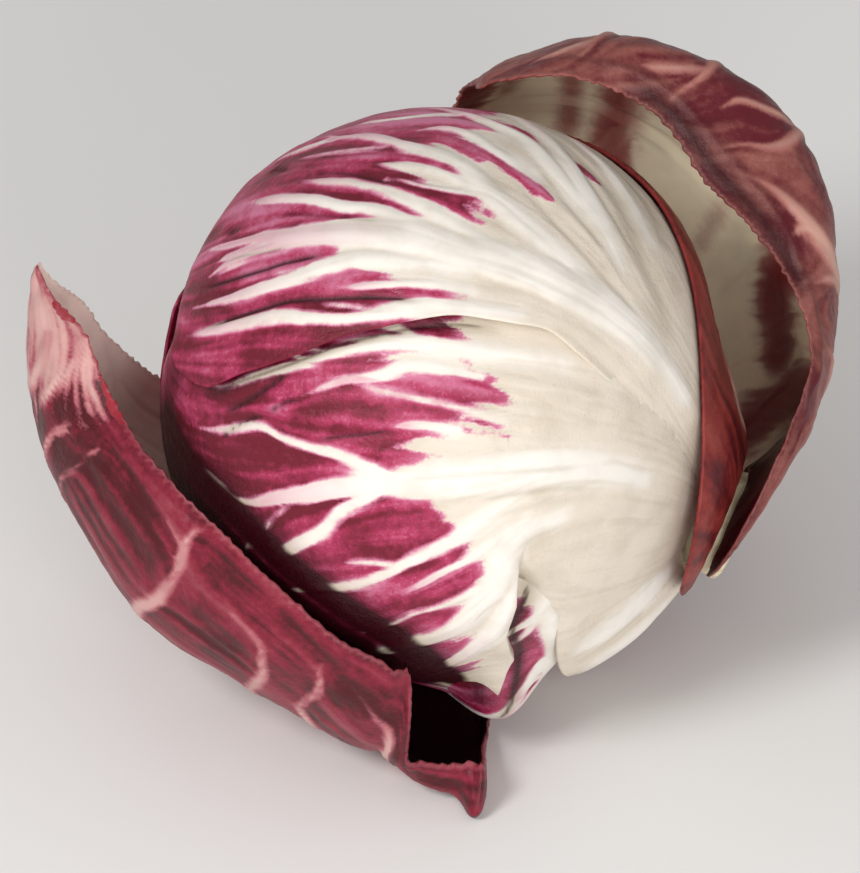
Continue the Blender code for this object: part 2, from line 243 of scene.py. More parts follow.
def free_sheet(net, rows, columns, levels=None):
    """A loose leaf: a smooth sheet through rows of (theta, [(phi, radius in mm), ...]).

    Heights on the leaf count evenly from one of the `levels` to the next, which are thetas.
    """
    stations = np.array([theta for theta, _ in net], float)
    handles = np.array([handles for _, handles in net], float)
    steps = np.interp(np.linspace(0, 1, rows + 1), np.linspace(0, 1, len(stations)), stations)
    spread = smooth_through(stations, handles, steps)
    handle_at, wanted = np.linspace(0, 1, handles.shape[1]), np.linspace(0, 1, columns + 1)
    sheet = smooth_through(handle_at, np.swapaxes(spread, 0, 1), wanted)
    phi, radius = np.moveaxis(np.swapaxes(sheet, 0, 1), -1, 0)
    theta = np.broadcast_to(steps[:, None], phi.shape)
    made = Sheet(head_point(theta, phi, radius / MM), theta.copy(), phi)
    made.levels = stations if levels is None else np.array(levels, float)
    made.up = np.interp(theta, made.levels, np.linspace(0, 1, len(made.levels)))
    return made


# %% [markdown]
# ## Lines drawn on a leaf
# A vein, a crease and a patch of colour are all lines with a width. `Line` lays a route on the leaf, and for
# every grid point it finds the distance to the line and how far along the nearest place is. From that one
# measure come the height of a rib, the depth of a crease, and the edge of a coloured patch.

# %% Lines


class Line:
    def __init__(self, sheet, route, by="angles", spacing=0.45):
        route = np.array(route, float)
        if by == "angles" and route[0, 0] > route[-1, 0]:
            route = route[::-1]
        steps = np.concatenate([[0], np.cumsum(np.linalg.norm(np.diff(route, axis=0), axis=1))])
        dense = smooth_through(steps, route, np.linspace(0, steps[-1], 12 * len(route)))
        place = sheet.at_angles if by == "angles" else sheet.at_share
        points = (place(dense[:, 0], dense[:, 1]) - CENTRE) * MM
        way = np.concatenate([[0], np.cumsum(np.linalg.norm(np.diff(points, axis=0), axis=1))])
        self.length = way[-1]
        at = np.linspace(0, self.length, max(4, int(self.length / spacing)))
        self.points = np.stack([np.interp(at, way, points[:, k]) for k in range(3)], -1)
        self.heading = unit(np.gradient(self.points, axis=0))
        cloud = sheet.mm.reshape(-1, 3).astype(np.float32)
        line = self.points.astype(np.float32)
        square = (cloud**2).sum(1)[:, None] + (line**2).sum(1)[None, :] - 2 * cloud @ line.T
        nearest = square.argmin(1)
        self.nearest = nearest.reshape(sheet.theta.shape)
        offset = sheet.mm - self.points[self.nearest]
        heading = self.heading[self.nearest]
        slip = (offset * heading).sum(-1)
        middle = (self.nearest > 0) & (self.nearest < len(at) - 1)
        beside = np.linalg.norm(offset - slip[..., None] * heading, axis=-1)
        self.distance = np.where(middle, beside, np.linalg.norm(offset, axis=-1))
        self.along = at[self.nearest]
        self.share = self.along / self.length


def rim_distance(sheet):
    """Distance in mm from every point to the rim, which is both sides and the tip, and not the base."""
    rim = np.concatenate([sheet.mm[:, 0], sheet.mm[-1], sheet.mm[:, -1]])[::2].astype(np.float32)
    cloud = sheet.mm.reshape(-1, 3).astype(np.float32)
    square = (cloud**2).sum(1)[:, None] + (rim**2).sum(1)[None, :] - 2 * cloud @ rim.T
    return np.sqrt(np.maximum(square.min(1), 0)).reshape(sheet.theta.shape)


# %% [markdown]
# ## One face of a leaf
# `Face` collects what one face of a leaf looks like: how high it stands, where the white ribs are, how red it
# is, and where it is shaded in a fold. The purple of a radicchio leaf frays into the white along the veins.
# To get that, random specks are smeared along the direction in which the veins run, and the smeared streaks
# push the edge of the purple back and forth.

# %% Faces


class Face:
    def __init__(self, sheet, seed):
        self.sheet, self.seed = sheet, seed
        shape = sheet.theta.shape
        self.height, self.shade, self.deep = np.zeros(shape), np.zeros(shape), np.zeros(shape)
        self.blush = np.zeros(shape)
        self.rib, self.red = np.full(shape, -9.0), np.full(shape, -30.0)
        self.upward = unit(np.gradient(sheet.points, axis=0))
        if sheet.on_ball:
            theta, phi = np.radians(sheet.theta)[..., None], np.radians(sheet.phi)[..., None]
            spoke = np.cos(phi) * FRONT + np.sin(phi) * UPPER
            self.upward = np.cos(theta) * spoke - np.sin(theta) * STEMWARD
        self.flow = self.upward * 0.004

    def add_ribs(self, ribs, by="angles"):
        """Ribs as (route, half width at the base, half width at the tip, rise), in mm."""
        for route, wide, narrow, rise in ribs:
            line = Line(self.sheet, route, by)
            taper = (0.35 + 0.65 * ease(0, 0.25, line.share)) * (1 - ease(0.70, 1.0, line.share)) ** 0.6
            half = (wide + (narrow - wide) * line.share) * 0.92 * taper
            self.rib = np.maximum(self.rib, half - line.distance - 0.5 * ease(0.8, 1, line.share))
            bulge = rise * np.clip(1 - (line.distance / (1.7 * half + 0.4)) ** 2, 0, 1) ** 1.5
            bulge = bulge * ease(0, 0.35, line.share) * (1 - ease(0.8, 1, line.share))
            self.height = np.maximum(self.height, bulge)
            near_tip = ease(0.55, 1.0, line.share) * (line.distance < half + 1.5)
            self.blush = np.maximum(self.blush, 0.75 * near_tip)
            heading = line.heading[line.nearest]
            heading = heading * np.sign((heading * self.upward).sum(-1, keepdims=True) + 1e-9)
            self.flow = self.flow + heading * (1 / (line.distance + 1.5) ** 2.5)[..., None]
        return self

    def add_creases_and_shade(self, creases, by="angles"):
        """Creases as (route, half width, depth, shade), where shade is painted shade along the line, also
        where the depth is 0.
        """
        for route, half, depth, shade in creases:
            line = Line(self.sheet, route, by)
            fade = ease(0, 0.12, line.share) * (1 - ease(0.85, 1, line.share))
            groove = np.exp(-((line.distance / half) ** 2)) * fade
            self.height = self.height - depth * groove
            self.shade = np.maximum(self.shade, shade * groove)
        return self

    def start_red(self, starts):
        """The purple begins at a theta that depends on phi: (phi, theta) pairs."""
        phis, thetas = zip(*starts)
        edge = np.interp(self.sheet.phi, phis, thetas)
        self.red = np.radians(self.sheet.theta - edge) * self.sheet.radius
        return self

    def add_patches(self, patches, by="angles"):
        """Patches as (route, half width, fade at both ends, kind): 'red', 'cream', 'deep' or 'bright'."""
        for route, half, fade, kind in patches:
            line = Line(self.sheet, route, by)
            to_end = np.minimum(line.along, line.length - line.along)
            inside = np.minimum((half - line.distance) * 4, to_end - fade)
            inside = np.where(line.distance > half + 6, -30, inside)
            if kind == "red":
                self.red = np.maximum(self.red, inside)
            elif kind == "cream":
                self.red = np.minimum(self.red, -inside)
            else:
                soft = np.clip(1 - line.distance / half, 0, 1)
                self.deep = self.deep + (1 if kind == "deep" else -1) * soft
        return self

    def add_stains(self, stains, by="share"):
        """Blurred red marks as (route, half width, strength), added once the purple's edge is frayed."""
        for route, half, strength in stains:
            line = Line(self.sheet, route, by)
            fade = ease(0, 0.2, line.share) * (1 - ease(0.8, 1, line.share))
            edge = half * (0.7 + 0.6 * self.streak)
            stain = strength * np.exp(-((line.distance / edge) ** 2)) * (0.35 + 0.65 * fade)
            self.red = np.maximum(self.red, stain)
        return self

    def streaks(self, cell, reach, seed):
        """Specks smeared along the veins, evened out to run from about 0 to 1."""
        sheet = self.sheet
        heading = unit(self.flow)
        along, across = np.gradient(sheet.mm, axis=0), np.gradient(sheet.mm, axis=1)
        e, f, g = (along * along).sum(-1), (along * across).sum(-1), (across * across).sum(-1)
        a, b = (heading * along).sum(-1), (heading * across).sum(-1)
        det = np.maximum(e * g - f * f, 1e-9)
        step_i, step_j = 0.6 * (a * g - b * f) / det, 0.6 * (b * e - a * f) / det
        specks = speckle(sheet.mm, cell, seed)
        total = specks.copy()
        for sign in (1, -1):
            i, j = np.indices(specks.shape).astype(float)
            for _ in range(reach):
                di, dj = sheet.read(step_i, i, j), sheet.read(step_j, i, j)
                i, j = i + sign * di, j + sign * dj
                total += sheet.read(specks, i, j)
        return np.clip(0.5 + (total - total.mean()) / (5 * total.std()), 0, 1)

    def finish(self, fray=11, soft=5.0, folds=0.22, pucker=0.16, rib_fray=1.0):
        """Frays the purple, and adds the small folds that run with the veins and the puckers between them."""
        fine = self.streaks(0.8, 12, self.seed + 1)
        broad = self.streaks(2.2, 22, self.seed + 2)
        self.streak = fine
        wave = 0.5 * fine + 0.5 * broad
        self.red = np.clip(0.5 + (self.red + (wave - 0.5) * fray) / soft, 0, 1)
        self.rib = self.rib + ((fine - 0.5) * 1.3 + (broad - 0.5) * 0.9) * rib_fray
        self.deep = self.deep - (broad - 0.5) * 3.0
        self.shade = np.clip(self.shade, 0, 1)
        mm = self.sheet.mm
        lumps = speckle(mm, 2.6, self.seed + 3) + 0.5 * speckle(mm, 1.2, self.seed + 4) - 0.75
        flat = 1 - ease(-0.6, 0.6, self.rib)
        calm = 0.25 + 0.75 * ease(45, 85, self.sheet.theta) if self.sheet.on_ball else 1.0
        self.height = self.height + folds * calm * (broad - 0.5) * 2 + pucker * lumps * self.red * flat
        return self


# %% [markdown]
# ## From grid to mesh
# A leaf has two skins and a rounded rim. Both skins are lifted or pressed by the height of their face, the
# leaf thins toward the rim, and a strip with a middle line closes it. The rim of an outer leaf has small
# teeth, which are pulled out of the grid's last rows before the skins are made.

# %% Leaf mesh


def cut_teeth(sheet, pitch, depth, seed):
    """Pulls small saw teeth out of the rim."""
    rng = np.random.default_rng(seed)
    points = sheet.points
    for edge, second, third in (
        (np.s_[:, 0], np.s_[:, 1], np.s_[:, 3]),
        (np.s_[:, -1], np.s_[:, -2], np.s_[:, -4]),
        (np.s_[-1, :], np.s_[-2, :], np.s_[-4, :]),
    ):
        rim = points[edge]
        way = np.concatenate([[0], np.cumsum(np.linalg.norm(np.diff(rim, axis=0), axis=1))]) * MM
        marks = np.cumsum(pitch * rng.uniform(0.55, 1.5, int(way[-1] / pitch * 1.6) + 4))
        marks = np.concatenate([[0], marks])
        k = np.clip(np.searchsorted(marks, way) - 1, 0, len(marks) - 2)
        share = (way - marks[k]) / (marks[k + 1] - marks[k])
        tall = depth * rng.uniform(0.35, 1.15, len(marks))[k]
        tooth = tall * np.where(share < 0.7, share / 0.7, (1 - share) / 0.3) ** 1.2
        outward = unit(rim - points[third]) * (tooth / MM)[:, None]
        points[second] = points[second] + outward * 0.45
        points[edge] = rim + outward
    sheet.refresh()


def leaf_piece(name, sheet, outer, inner, thickness, finish, on_table=False, thin=0.5):
    """Makes the leaf's object from its sheet and its two faces, and hangs it on the frame."""
    rim = rim_distance(sheet)
    half = thickness / 2 * (thin + (1 - thin) * ease(0, 2.5, rim))[..., None]
    calm = ease(0, 1.6, rim)[..., None] * 0.7 + 0.3
    lift_out, lift_in = (outer.height / MM)[..., None] * calm, (inner.height / MM)[..., None] * calm
    top = sheet.points + sheet.normals * (half + lift_out)
    under = sheet.points - sheet.normals * (half - lift_in)
    if on_table:
        top[..., 2] = np.maximum(top[..., 2], 0)
        under[..., 2] = np.maximum(under[..., 2], top[..., 2] + 0.5 * thickness)
        under[..., 2] = np.where(top[..., 2] < 1e-9, np.maximum(under[..., 2], thickness), under[..., 2])
    rows, columns = sheet.theta.shape
    loop = [(i, 0) for i in range(rows)] + [(rows - 1, j) for j in range(1, columns)]
    loop += [(i, columns - 1) for i in range(rows - 2, -1, -1)] + [(0, j) for j in range(columns - 2, 0, -1)]
    loop = np.array(loop)
    li, lj = loop[:, 0], loop[:, 1]
    inward_i, inward_j = np.clip(li, 2, rows - 3), np.clip(lj, 2, columns - 3)
    outward = unit(sheet.points[li, lj] - sheet.points[inward_i, inward_j])
    middle = (top[li, lj] + under[li, lj]) / 2 + outward * thickness * 0.22
    if on_table:
        middle[:, 2] = np.maximum(middle[:, 2], 0)
    count = rows * columns
    index = np.arange(count).reshape(rows, columns)
    quads = np.stack([index[:-1, :-1], index[1:, :-1], index[1:, 1:], index[:-1, 1:]], -1).reshape(-1, 4)
    if sheet.flipped:
        quads = quads[:, ::-1]
    edge = index[li, lj]
    following = np.roll(edge, -1)
    mid = 2 * count + np.arange(len(edge))
    mid_next = np.roll(mid, -1)
    upper_strip = np.stack([following, edge, mid, mid_next], -1)
    lower_strip = np.stack([mid_next, mid, edge + count, following + count], -1)
    if sheet.flipped:
        upper_strip, lower_strip = upper_strip[:, ::-1], lower_strip[:, ::-1]
    faces = np.concatenate([quads, quads[:, ::-1] + count, upper_strip, lower_strip])
    points = np.concatenate([top.reshape(-1, 3), under.reshape(-1, 3), middle])
    mesh = bpy.data.meshes.new(name)
    mesh.from_pydata(points.tolist(), [], faces.tolist())
    for label in ("rib", "red", "shade", "deep", "streak", "blush"):
        a, b = getattr(outer, label), getattr(inner, label)
        values = np.concatenate([a.ravel(), b.ravel(), (a[li, lj] + b[li, lj]) / 2])
        mesh.attributes.new(label, "FLOAT", "POINT").data.foreach_set("value", values.astype(np.float32))
    side = np.concatenate([np.zeros(count), np.ones(count), np.full(len(edge), 0.5)])
    mesh.attributes.new("side", "FLOAT", "POINT").data.foreach_set("value", side.astype(np.float32))
    rims = np.concatenate([rim.ravel(), rim.ravel(), np.zeros(len(edge))])
    mesh.attributes.new("rim", "FLOAT", "POINT").data.foreach_set("value", rims.astype(np.float32))
    mesh.polygons.foreach_set("use_smooth", [True] * len(mesh.polygons))
    mesh.materials.append(finish)
    mesh.update()
    made = bpy.data.objects.new(name + "_leaf", mesh)
    bpy.context.scene.collection.objects.link(made)
    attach(made, "root")
    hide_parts(name)
    print(name, len(mesh.polygons) * 2, "triangles, rib share", round(float((outer.rib > 0).mean()), 2),
          "red share", round(float(outer.red.mean()), 2))
    return made


# %% [markdown]
# ## The leaf's finish
# One recipe makes the skin of every leaf, with other colours for each kind. It reads the values stored on
# the mesh: white where there is a rib, purple where the leaf is red, and darker with painted shade in the
# folds.
# Between white and purple there is always a thin pink zone, because the colour sits in single cells that thin
# out. Fine noise breaks the purple into deeper and brighter specks, with pink painted glints among the
# brighter ones, and the same noise, as a low bump, gives the skin its leathery look.

# %% Leaf finish


def add_node(tree, kind, inputs=None, **settings):
    made = tree.nodes.new(kind)
    for key, value in settings.items():
        setattr(made, key, value)
    for key, value in (inputs or {}).items():
        if isinstance(value, bpy.types.NodeSocket):
            tree.links.new(value, made.inputs[key])
        else:
            made.inputs[key].default_value = value
    return made


def colour_mix(tree, share, first, second, blend="MIX"):
    made = tree.nodes.new("ShaderNodeMix")
    made.data_type, made.blend_type = "RGBA", blend
    for slot, value in ((0, share), (6, first), (7, second)):
        if isinstance(value, bpy.types.NodeSocket):
            tree.links.new(value, made.inputs[slot])
        else:
            made.inputs[slot].default_value = value if slot == 0 else (*value, 1.0)
    return made.outputs[2]


def step_node(tree, value, low, high, to_low=0.0, to_high=1.0):
    made = add_node(tree, "ShaderNodeMapRange", {0: value, 1: low, 2: high, 3: to_low, 4: to_high},
                    interpolation_type="SMOOTHSTEP")
    return made.outputs[0]


def math_node(tree, operation, first, second=0.0, third=0.0):
    return add_node(tree, "ShaderNodeMath", {0: first, 1: second, 2: third}, operation=operation).outputs[0]


def stored(tree, name):
    return add_node(tree, "ShaderNodeAttribute", attribute_name=name).outputs["Fac"]


def noise_node(tree, place, scale, detail, roughness=0.5):
    inputs = {"Vector": place, "Scale": scale, "Detail": detail, "Roughness": roughness}
    return add_node(tree, "ShaderNodeTexNoise", inputs).outputs["Fac"]


def leaf_finish(name, ivory, white, deep, bright, pink, tint_and_shade, painted_deep_shade, inside_ivory, inside_deep,
                rough=0.42, rib_edge=(-0.8, 0.6), halo=1.0, rim_pink=0.0, bump=0.45, glint_share=0.40,
                mauve=0.85):
    made = bpy.data.materials.new(name)
    made.use_nodes = True
    tree = made.node_tree
    shader = tree.nodes["Principled BSDF"]
    place = add_node(tree, "ShaderNodeTexCoord").outputs["Object"]
    rib, red, shade, depth, blush = (stored(tree, n) for n in ("rib", "red", "shade", "deep", "blush"))
    side, rim, streak = (stored(tree, n) for n in ("side", "rim", "streak"))
    fine = noise_node(tree, place, 1900.0, 3.0)
    specks = noise_node(tree, place, 640.0, 5.0, 0.65)
    clouds = noise_node(tree, place, 110.0, 3.0)
    # The rib's edge and the purple's edge, both roughened a little
    wobble = math_node(tree, "MULTIPLY_ADD", specks, 1.3, -0.65)
    grain = math_node(tree, "MULTIPLY_ADD", fine, 1.0, -0.5)
    ragged = math_node(tree, "ADD", rib, math_node(tree, "MULTIPLY", wobble, 0.7))
    on_rib = step_node(tree, ragged, *rib_edge)
    beside_rib = step_node(tree, ragged, rib_edge[0] - halo, rib_edge[1])
    rough_edge = math_node(tree, "MULTIPLY_ADD", grain, 0.45, math_node(tree, "MULTIPLY", wobble, 0.55))
    outside = math_node(tree, "MULTIPLY_ADD", side, -0.85, 1.0)
    broken = math_node(tree, "MULTIPLY_ADD", rough_edge, outside, red)
    redness = math_node(tree, "MULTIPLY", broken, math_node(tree, "SUBTRACT", 1.0, beside_rib))
    # Ivory to white, with a little shade in the clouds and along the streaks
    pale = colour_mix(tree, step_node(tree, ragged, -2.6, 1.4), ivory, white)
    pale = colour_mix(tree, step_node(tree, clouds, 0.42, 0.72, 0.0, 0.22), pale, tint_and_shade, "MULTIPLY")
    pale = colour_mix(tree, step_node(tree, streak, 0.45, 0.10, 0.0, 0.14), pale, tint_and_shade, "MULTIPLY")
    pale_inside = colour_mix(tree, step_node(tree, clouds, 0.3, 0.8), inside_ivory,
                             tuple(0.86 * c for c in inside_ivory))
    pale = colour_mix(tree, side, pale, pale_inside)
    # Deep purple to bright, and in streaks to mauve
    mottle = math_node(tree, "MULTIPLY_ADD", wobble, 0.55, 0.5)
    mottle = math_node(tree, "MULTIPLY_ADD", depth, -0.26, mottle)
    mottle = math_node(tree, "ADD", mottle, math_node(tree, "MULTIPLY_ADD", streak, 0.55, -0.275))
    mottle = math_node(tree, "ADD", mottle, math_node(tree, "MULTIPLY_ADD", clouds, 0.8, -0.4))
    purple = colour_mix(tree, step_node(tree, mottle, 0.15, 0.70), deep, bright)
    purple = colour_mix(tree, step_node(tree, mottle, 0.55, 1.10, 0.0, mauve), purple, pink)
    # Painted glints: pink specks over the brighter purple stand in for the shine of the crinkled skin
    grains, in_bright = step_node(tree, fine, 0.55, 0.66), step_node(tree, mottle, 0.35, 0.75)
    glints = math_node(tree, "MULTIPLY", grains, in_bright)
    purple = colour_mix(tree, math_node(tree, "MULTIPLY", glints, glint_share), purple, pink)
    purple = colour_mix(tree, math_node(tree, "MULTIPLY", side, 0.75), purple, inside_deep)
    colour = colour_mix(tree, step_node(tree, redness, 0.08, 0.46), pale, pink)
    colour = colour_mix(tree, step_node(tree, redness, 0.30, 0.72), colour, purple)
    # Veins turn pink toward the tip, painted shade darkens the folds and the deepest shadows, and the teeth
    # are pale
    colour = colour_mix(tree, math_node(tree, "MULTIPLY", on_rib, blush), colour, pink)
    dark = colour_mix(tree, step_node(tree, redness, 0.1, 0.5), tint_and_shade, painted_deep_shade)
    colour = colour_mix(tree, shade, colour, dark)
    colour = colour_mix(tree, step_node(tree, shade, 0.66, 1.0), colour, painted_deep_shade)
    if rim_pink:
        colour = colour_mix(tree, step_node(tree, rim, 0.1, 0.8, rim_pink, 0.0), colour, pink)
    tree.links.new(colour, shader.inputs["Base Color"])
    gloss = math_node(tree, "MULTIPLY_ADD", specks, 0.30, rough - 0.15)
    gloss = math_node(tree, "ADD", gloss, math_node(tree, "MULTIPLY", on_rib, 0.08))
    tree.links.new(gloss, shader.inputs["Roughness"])
    relief = math_node(tree, "ADD", specks, math_node(tree, "MULTIPLY", fine, 0.35))
    relief = math_node(tree, "MULTIPLY", relief, math_node(tree, "MULTIPLY_ADD", redness, 0.9, 0.1))
    relief = math_node(tree, "ADD", relief, math_node(tree, "MULTIPLY", streak, 0.45))
    lumps = add_node(tree, "ShaderNodeBump", {"Height": relief, "Strength": bump, "Distance": 0.0005})
    tree.links.new(lumps.outputs["Normal"], shader.inputs["Normal"])
    shader.inputs["Subsurface Weight"].default_value = 0.10
    shader.inputs["Subsurface Radius"].default_value = (1.0, 0.35, 0.25)
    shader.inputs["Subsurface Scale"].default_value = 0.0012
    shader.inputs["Specular IOR Level"].default_value = 0.35
    return made


BALL_SKIN = leaf_finish(
    "white_ribbed_leaf", ivory=(0.74, 0.66, 0.565), white=(0.87, 0.83, 0.78), deep=(0.150, 0.003, 0.018),
    bright=(0.42, 0.028, 0.100), pink=(0.64, 0.20, 0.34), tint_and_shade=(0.46, 0.40, 0.30),
    painted_deep_shade=(0.030, 0.001, 0.004), inside_ivory=(0.80, 0.74, 0.60), inside_deep=(0.30, 0.02, 0.05),
)
BOAT_SKIN = leaf_finish(
    "burgundy_leaf", ivory=(0.50, 0.20, 0.20), white=(0.72, 0.45, 0.42), deep=(0.070, 0.001, 0.006),
    bright=(0.23, 0.008, 0.030), pink=(0.44, 0.12, 0.15), tint_and_shade=(0.020, 0.002, 0.003),
    painted_deep_shade=(0.012, 0.0004, 0.001), inside_ivory=(1.0, 0.82, 0.73), inside_deep=(0.38, 0.020, 0.035),
    rib_edge=(-1.5, 1.3), halo=0.8, rim_pink=0.25, bump=0.25, glint_share=0.08, mauve=0.35,
)
REAR_SKIN = leaf_finish(
    "brown_mauve_leaf", ivory=(0.42, 0.20, 0.16), white=(0.56, 0.33, 0.27), deep=(0.110, 0.006, 0.014),
    bright=(0.22, 0.060, 0.052), pink=(0.40, 0.15, 0.13), tint_and_shade=(0.06, 0.010, 0.010),
    painted_deep_shade=(0.035, 0.001, 0.003), inside_ivory=(1.0, 0.90, 0.67), inside_deep=(0.24, 0.010, 0.014),
    rib_edge=(-1.5, 1.3), halo=0.8, rim_pink=0.25, bump=0.35, glint_share=0.08, mauve=0.6,
)

# %% [markdown]
# ## The leaf in front
# The leaf in front shows its broad midrib from the stem up, and the ribs that fork off it on both sides. Its
# lower edge turns up beside the stub of a broken leaf, and casts a shadow there. Near the stem all leaves are
# one thick white mass, so the purple only starts well up the leaf. The routes of the ribs are given in the
# head's angles, from the stem outward, because each one was chosen one by one.

# %% Front leaf
FRONT_EDGE_THETA = 63.1  # where the turned-up edge runs, before it is leant
FRONT_EDGE = [(12, -84, 28), (30, -88, 32), (44, -90, 34), (53, -91, 34), (59, -92, 34), (61.4, -92, 34),
              (63.4, -92, 33), (66, -93, 33), (70, -94, 33), (75, -97, 33), (86, -104, 30),
              (102, -105, 25), (118, -102, 20), (134, -99, 14), (150, -97, 8), (166, -96, 2)]


def front_edge_bend(theta, phi):
    """Leans the turned-up edge, which runs slantwise from its corner down toward the stem."""
    turns = (-100, -78, -62, -50, -45, -39, -32, -27, -24, -12)
    leans = (0, -6, -7.5, -3, -2.4, -1.8, 0.4, 2.0, 2.4, 0)
    return np.interp(phi, turns, leans) * np.exp(-(((theta - 63) / 16) ** 2))


def front_lift(theta, phi, share):
    """The edge turns up, and past it the leaf dives under. Toward the stem it sinks into the white base."""
    past = (FRONT_EDGE_THETA - theta) * 0.88
    base = np.interp(theta, (12, 28, 38, 46, 54, 62), (-84, -84, -70, -48, -34, -23))
    beside = np.radians(base - phi) * np.sin(np.radians(theta)) * FRONT_R * MM
    turned_up = np.exp(-(((past + 0.6) / 2.8) ** 2)) * ease(-23, -30, phi) * (1 - ease(-70, -90, phi))
    return belly(theta, phi) + 0.9 * turned_up - 4.2 * ease(0.0, 0.9, past) * ease(0, 14, beside)


front = wrapper_sheet(FRONT_EDGE, FRONT_R, 5, 210, 215, front_lift, bend=front_edge_bend)
FRONT_RIBS = [
    ([(44, 2), (56, -0.3), (68.8, -5.3), (80, -11.5), (90, -17.1), (95, -19.6), (100, -22.8), (105, -26.5),
      (110, -31.5), (115, -36.5), (120, -42.8), (124, -47), (128, -52.5)], 4.2, 0.9, 0.75),
    ([(72, 17), (90, 11.6), (95, 10.4), (100, 9.1), (105, 7.3), (110, 4.8), (115, 1.6), (117.5, -0.3),
      (122.5, -5.3), (128.8, -11.5), (132.5, -15.3), (137.5, -22), (145, -30)], 1.3, 0.5, 0.5),
    ([(88, 7), (102.5, 2.9), (106, -0.3), (109.4, -2.8), (112.5, -4.6), (116.3, -8.4),
      (120, -12.8)], 0.9, 0.2, 0.4),
    ([(80, 1), (90, -0.3), (95, -1.2), (100, -2.1), (105, -3.4), (110, -4.3),
      (112.5, -5.3)], 0.45, 0.15, 0.3),
    ([(88, -4.5), (95, -6.5), (98.8, -8.7)], 0.45, 0.15, 0.25),
    ([(92, -17.5), (100, -18.7), (105, -19.3), (110, -20.3), (115, -22.1), (120, -23.4), (125, -24.3),
      (127.5, -25.9), (130, -28.4), (134, -34), (140, -42)], 1.0, 0.3, 0.4),
    ([(94, -18.5), (98.8, -25.3), (101.9, -30.3), (103.8, -36.5), (106.3, -41.5), (108.8, -47.8),
      (112, -56)], 1.5, 0.5, 0.45),
    ([(70, -11), (75, -19), (78.8, -25.3), (82.5, -30.3), (86.3, -35.3), (90, -41.5), (93.8, -46.5),
      (99.4, -51.5), (106, -60)], 1.3, 0.5, 0.5),
    ([(67, -17), (71.3, -24), (75, -29.6), (78, -33.4), (80.6, -37.8), (83.8, -43.4)], 0.6, 0.2, 0.3),
    ([(66.5, -27), (68.8, -34), (72.5, -39.6), (76.3, -43.4), (80, -47), (82.5, -51),
      (88, -60)], 0.7, 0.25, 0.35),
    ([(60, -14), (66, -20), (68.2, -26), (67.5, -32), (68.4, -39.6), (70.6, -47.8), (75, -54), (79.4, -59),
      (84, -66), (92, -76)], 2.4, 1.0, 0.7),
    ([(64.5, -30), (63, -36.5), (62.8, -45.9), (64.4, -54), (66.9, -61.5), (72, -72)], 1.5, 0.5, 0.4),
    ([(112, -34), (114, -42), (116, -52), (117, -62)], 0.6, 0.2, 0.3),
    ([(86, -36), (92, -38), (98, -42)], 0.5, 0.1, 0.25),
    ([(100, 9), (108, 10), (116, 8), (124, 3)], 0.5, 0.2, 0.25),
    ([(117, -0.5), (124, -2), (131, -6), (137, -12)], 0.5, 0.15, 0.3),
    ([(124, -47), (132, -50), (140, -58)], 0.6, 0.2, 0.3),
    ([(122, -5.5), (128, -3.5), (135, -3)], 0.4, 0.1, 0.2),
]
# Creases with painted shade in them, and painted shadows with no depth: a dark band on the ball beside the
# boat-shaped leaf, darker shade toward the far left, and a shadow under the upper leaf's edge
FRONT_CREASES_AND_SHADOWS = [
    ([(56, -4.6), (68.8, -10.9), (78, -16.5)], 0.5, 0.30, 0.35),
    ([(60, -1.5), (75, -8.4), (87.5, -14.6), (94, -17.8)], 0.35, 0.22, 0.30),
    ([(100, -10), (103.8, -12.8), (109.4, -16.5), (113, -19.6)], 0.4, 0.35, 0.8),
    ([(120, -13), (122.5, -15.5), (125.5, -21)], 0.4, 0.3, 0.8),
    ([(124.5, -8), (126, -10.9), (129.4, -17.8), (132.5, -24), (136, -31)], 0.6, 0.5, 0.9),
    ([(126, -21.5), (127, -22.8), (131.3, -30.3), (133.5, -37)], 0.5, 0.4, 0.9),
    ([(58, 10), (70, 8), (84, 4), (96, 1)], 0.8, 0.2, 0.16),
    ([(60, 16), (76, 14), (90, 10)], 0.9, 0.2, 0.14), ([(48, -12), (58, -18), (66, -24)], 1.6, 0.3, 0.22),
    ([(52, -6), (64, -12), (74, -19)], 0.8, 0.25, 0.14),
    ([(96, 14.5), (104, 11.5), (110, 8.5), (116, 3.5)], 0.5, 0.35, 0.7),
    ([(164, -88), (152, -68), (138.5, -57), (132.7, -54.1), (123.9, -50.7), (115.2, -50.7), (109.1, -51),
      (101.7, -52.1), (96.2, -53), (89.2, -55), (84, -56.3), (77.4, -60), (72.2, -66), (66.8, -75),
      (62, -88)], 5.4, 0.0, 1.25),
    ([(164, -96), (156, -88), (147, -80), (138, -72), (126, -64), (116, -62), (104, -62), (92, -65),
      (82, -69), (74, -76), (66, -90)], 6.5, 0.0, 1.3),
    ([(152, -60), (158, -40), (162, -20)], 5.0, 0.0, 0.6),
    ([(84, 18), (90, 16.8), (98, 14.2), (104, 10.8), (110, 6.8), (116, 2.4), (122, -3.8), (129, -11.4),
      (135, -18.6), (141, -28), (147, -34)], 1.1, 0.15, 0.85),
]
FRONT_PATCHES = [
    ([(89, 9), (98, 6.5), (108, 1)], 1.8, 2, "cream"),
    ([(90, -1.6), (84, -1.2), (79, -0.6)], 0.7, 1, "red"),
    ([(100, -7), (110, -9.5), (118, -14)], 5.5, 0, "deep"), ([(119, -8), (124, -16)], 4, 0, "bright"),
    ([(86, -32), (98, -36)], 6, 0, "deep"), ([(76, -36), (84, -46)], 5, 0, "deep"),
    # These two deep patches are painted shade, darkening the purple toward the far left and lower left of the
    # ball
    ([(128, -30), (140, -40), (150, -60)], 14, 0, "deep"),
    ([(110, -56), (125, -66), (140, -76)], 16, 0, "deep"),
]
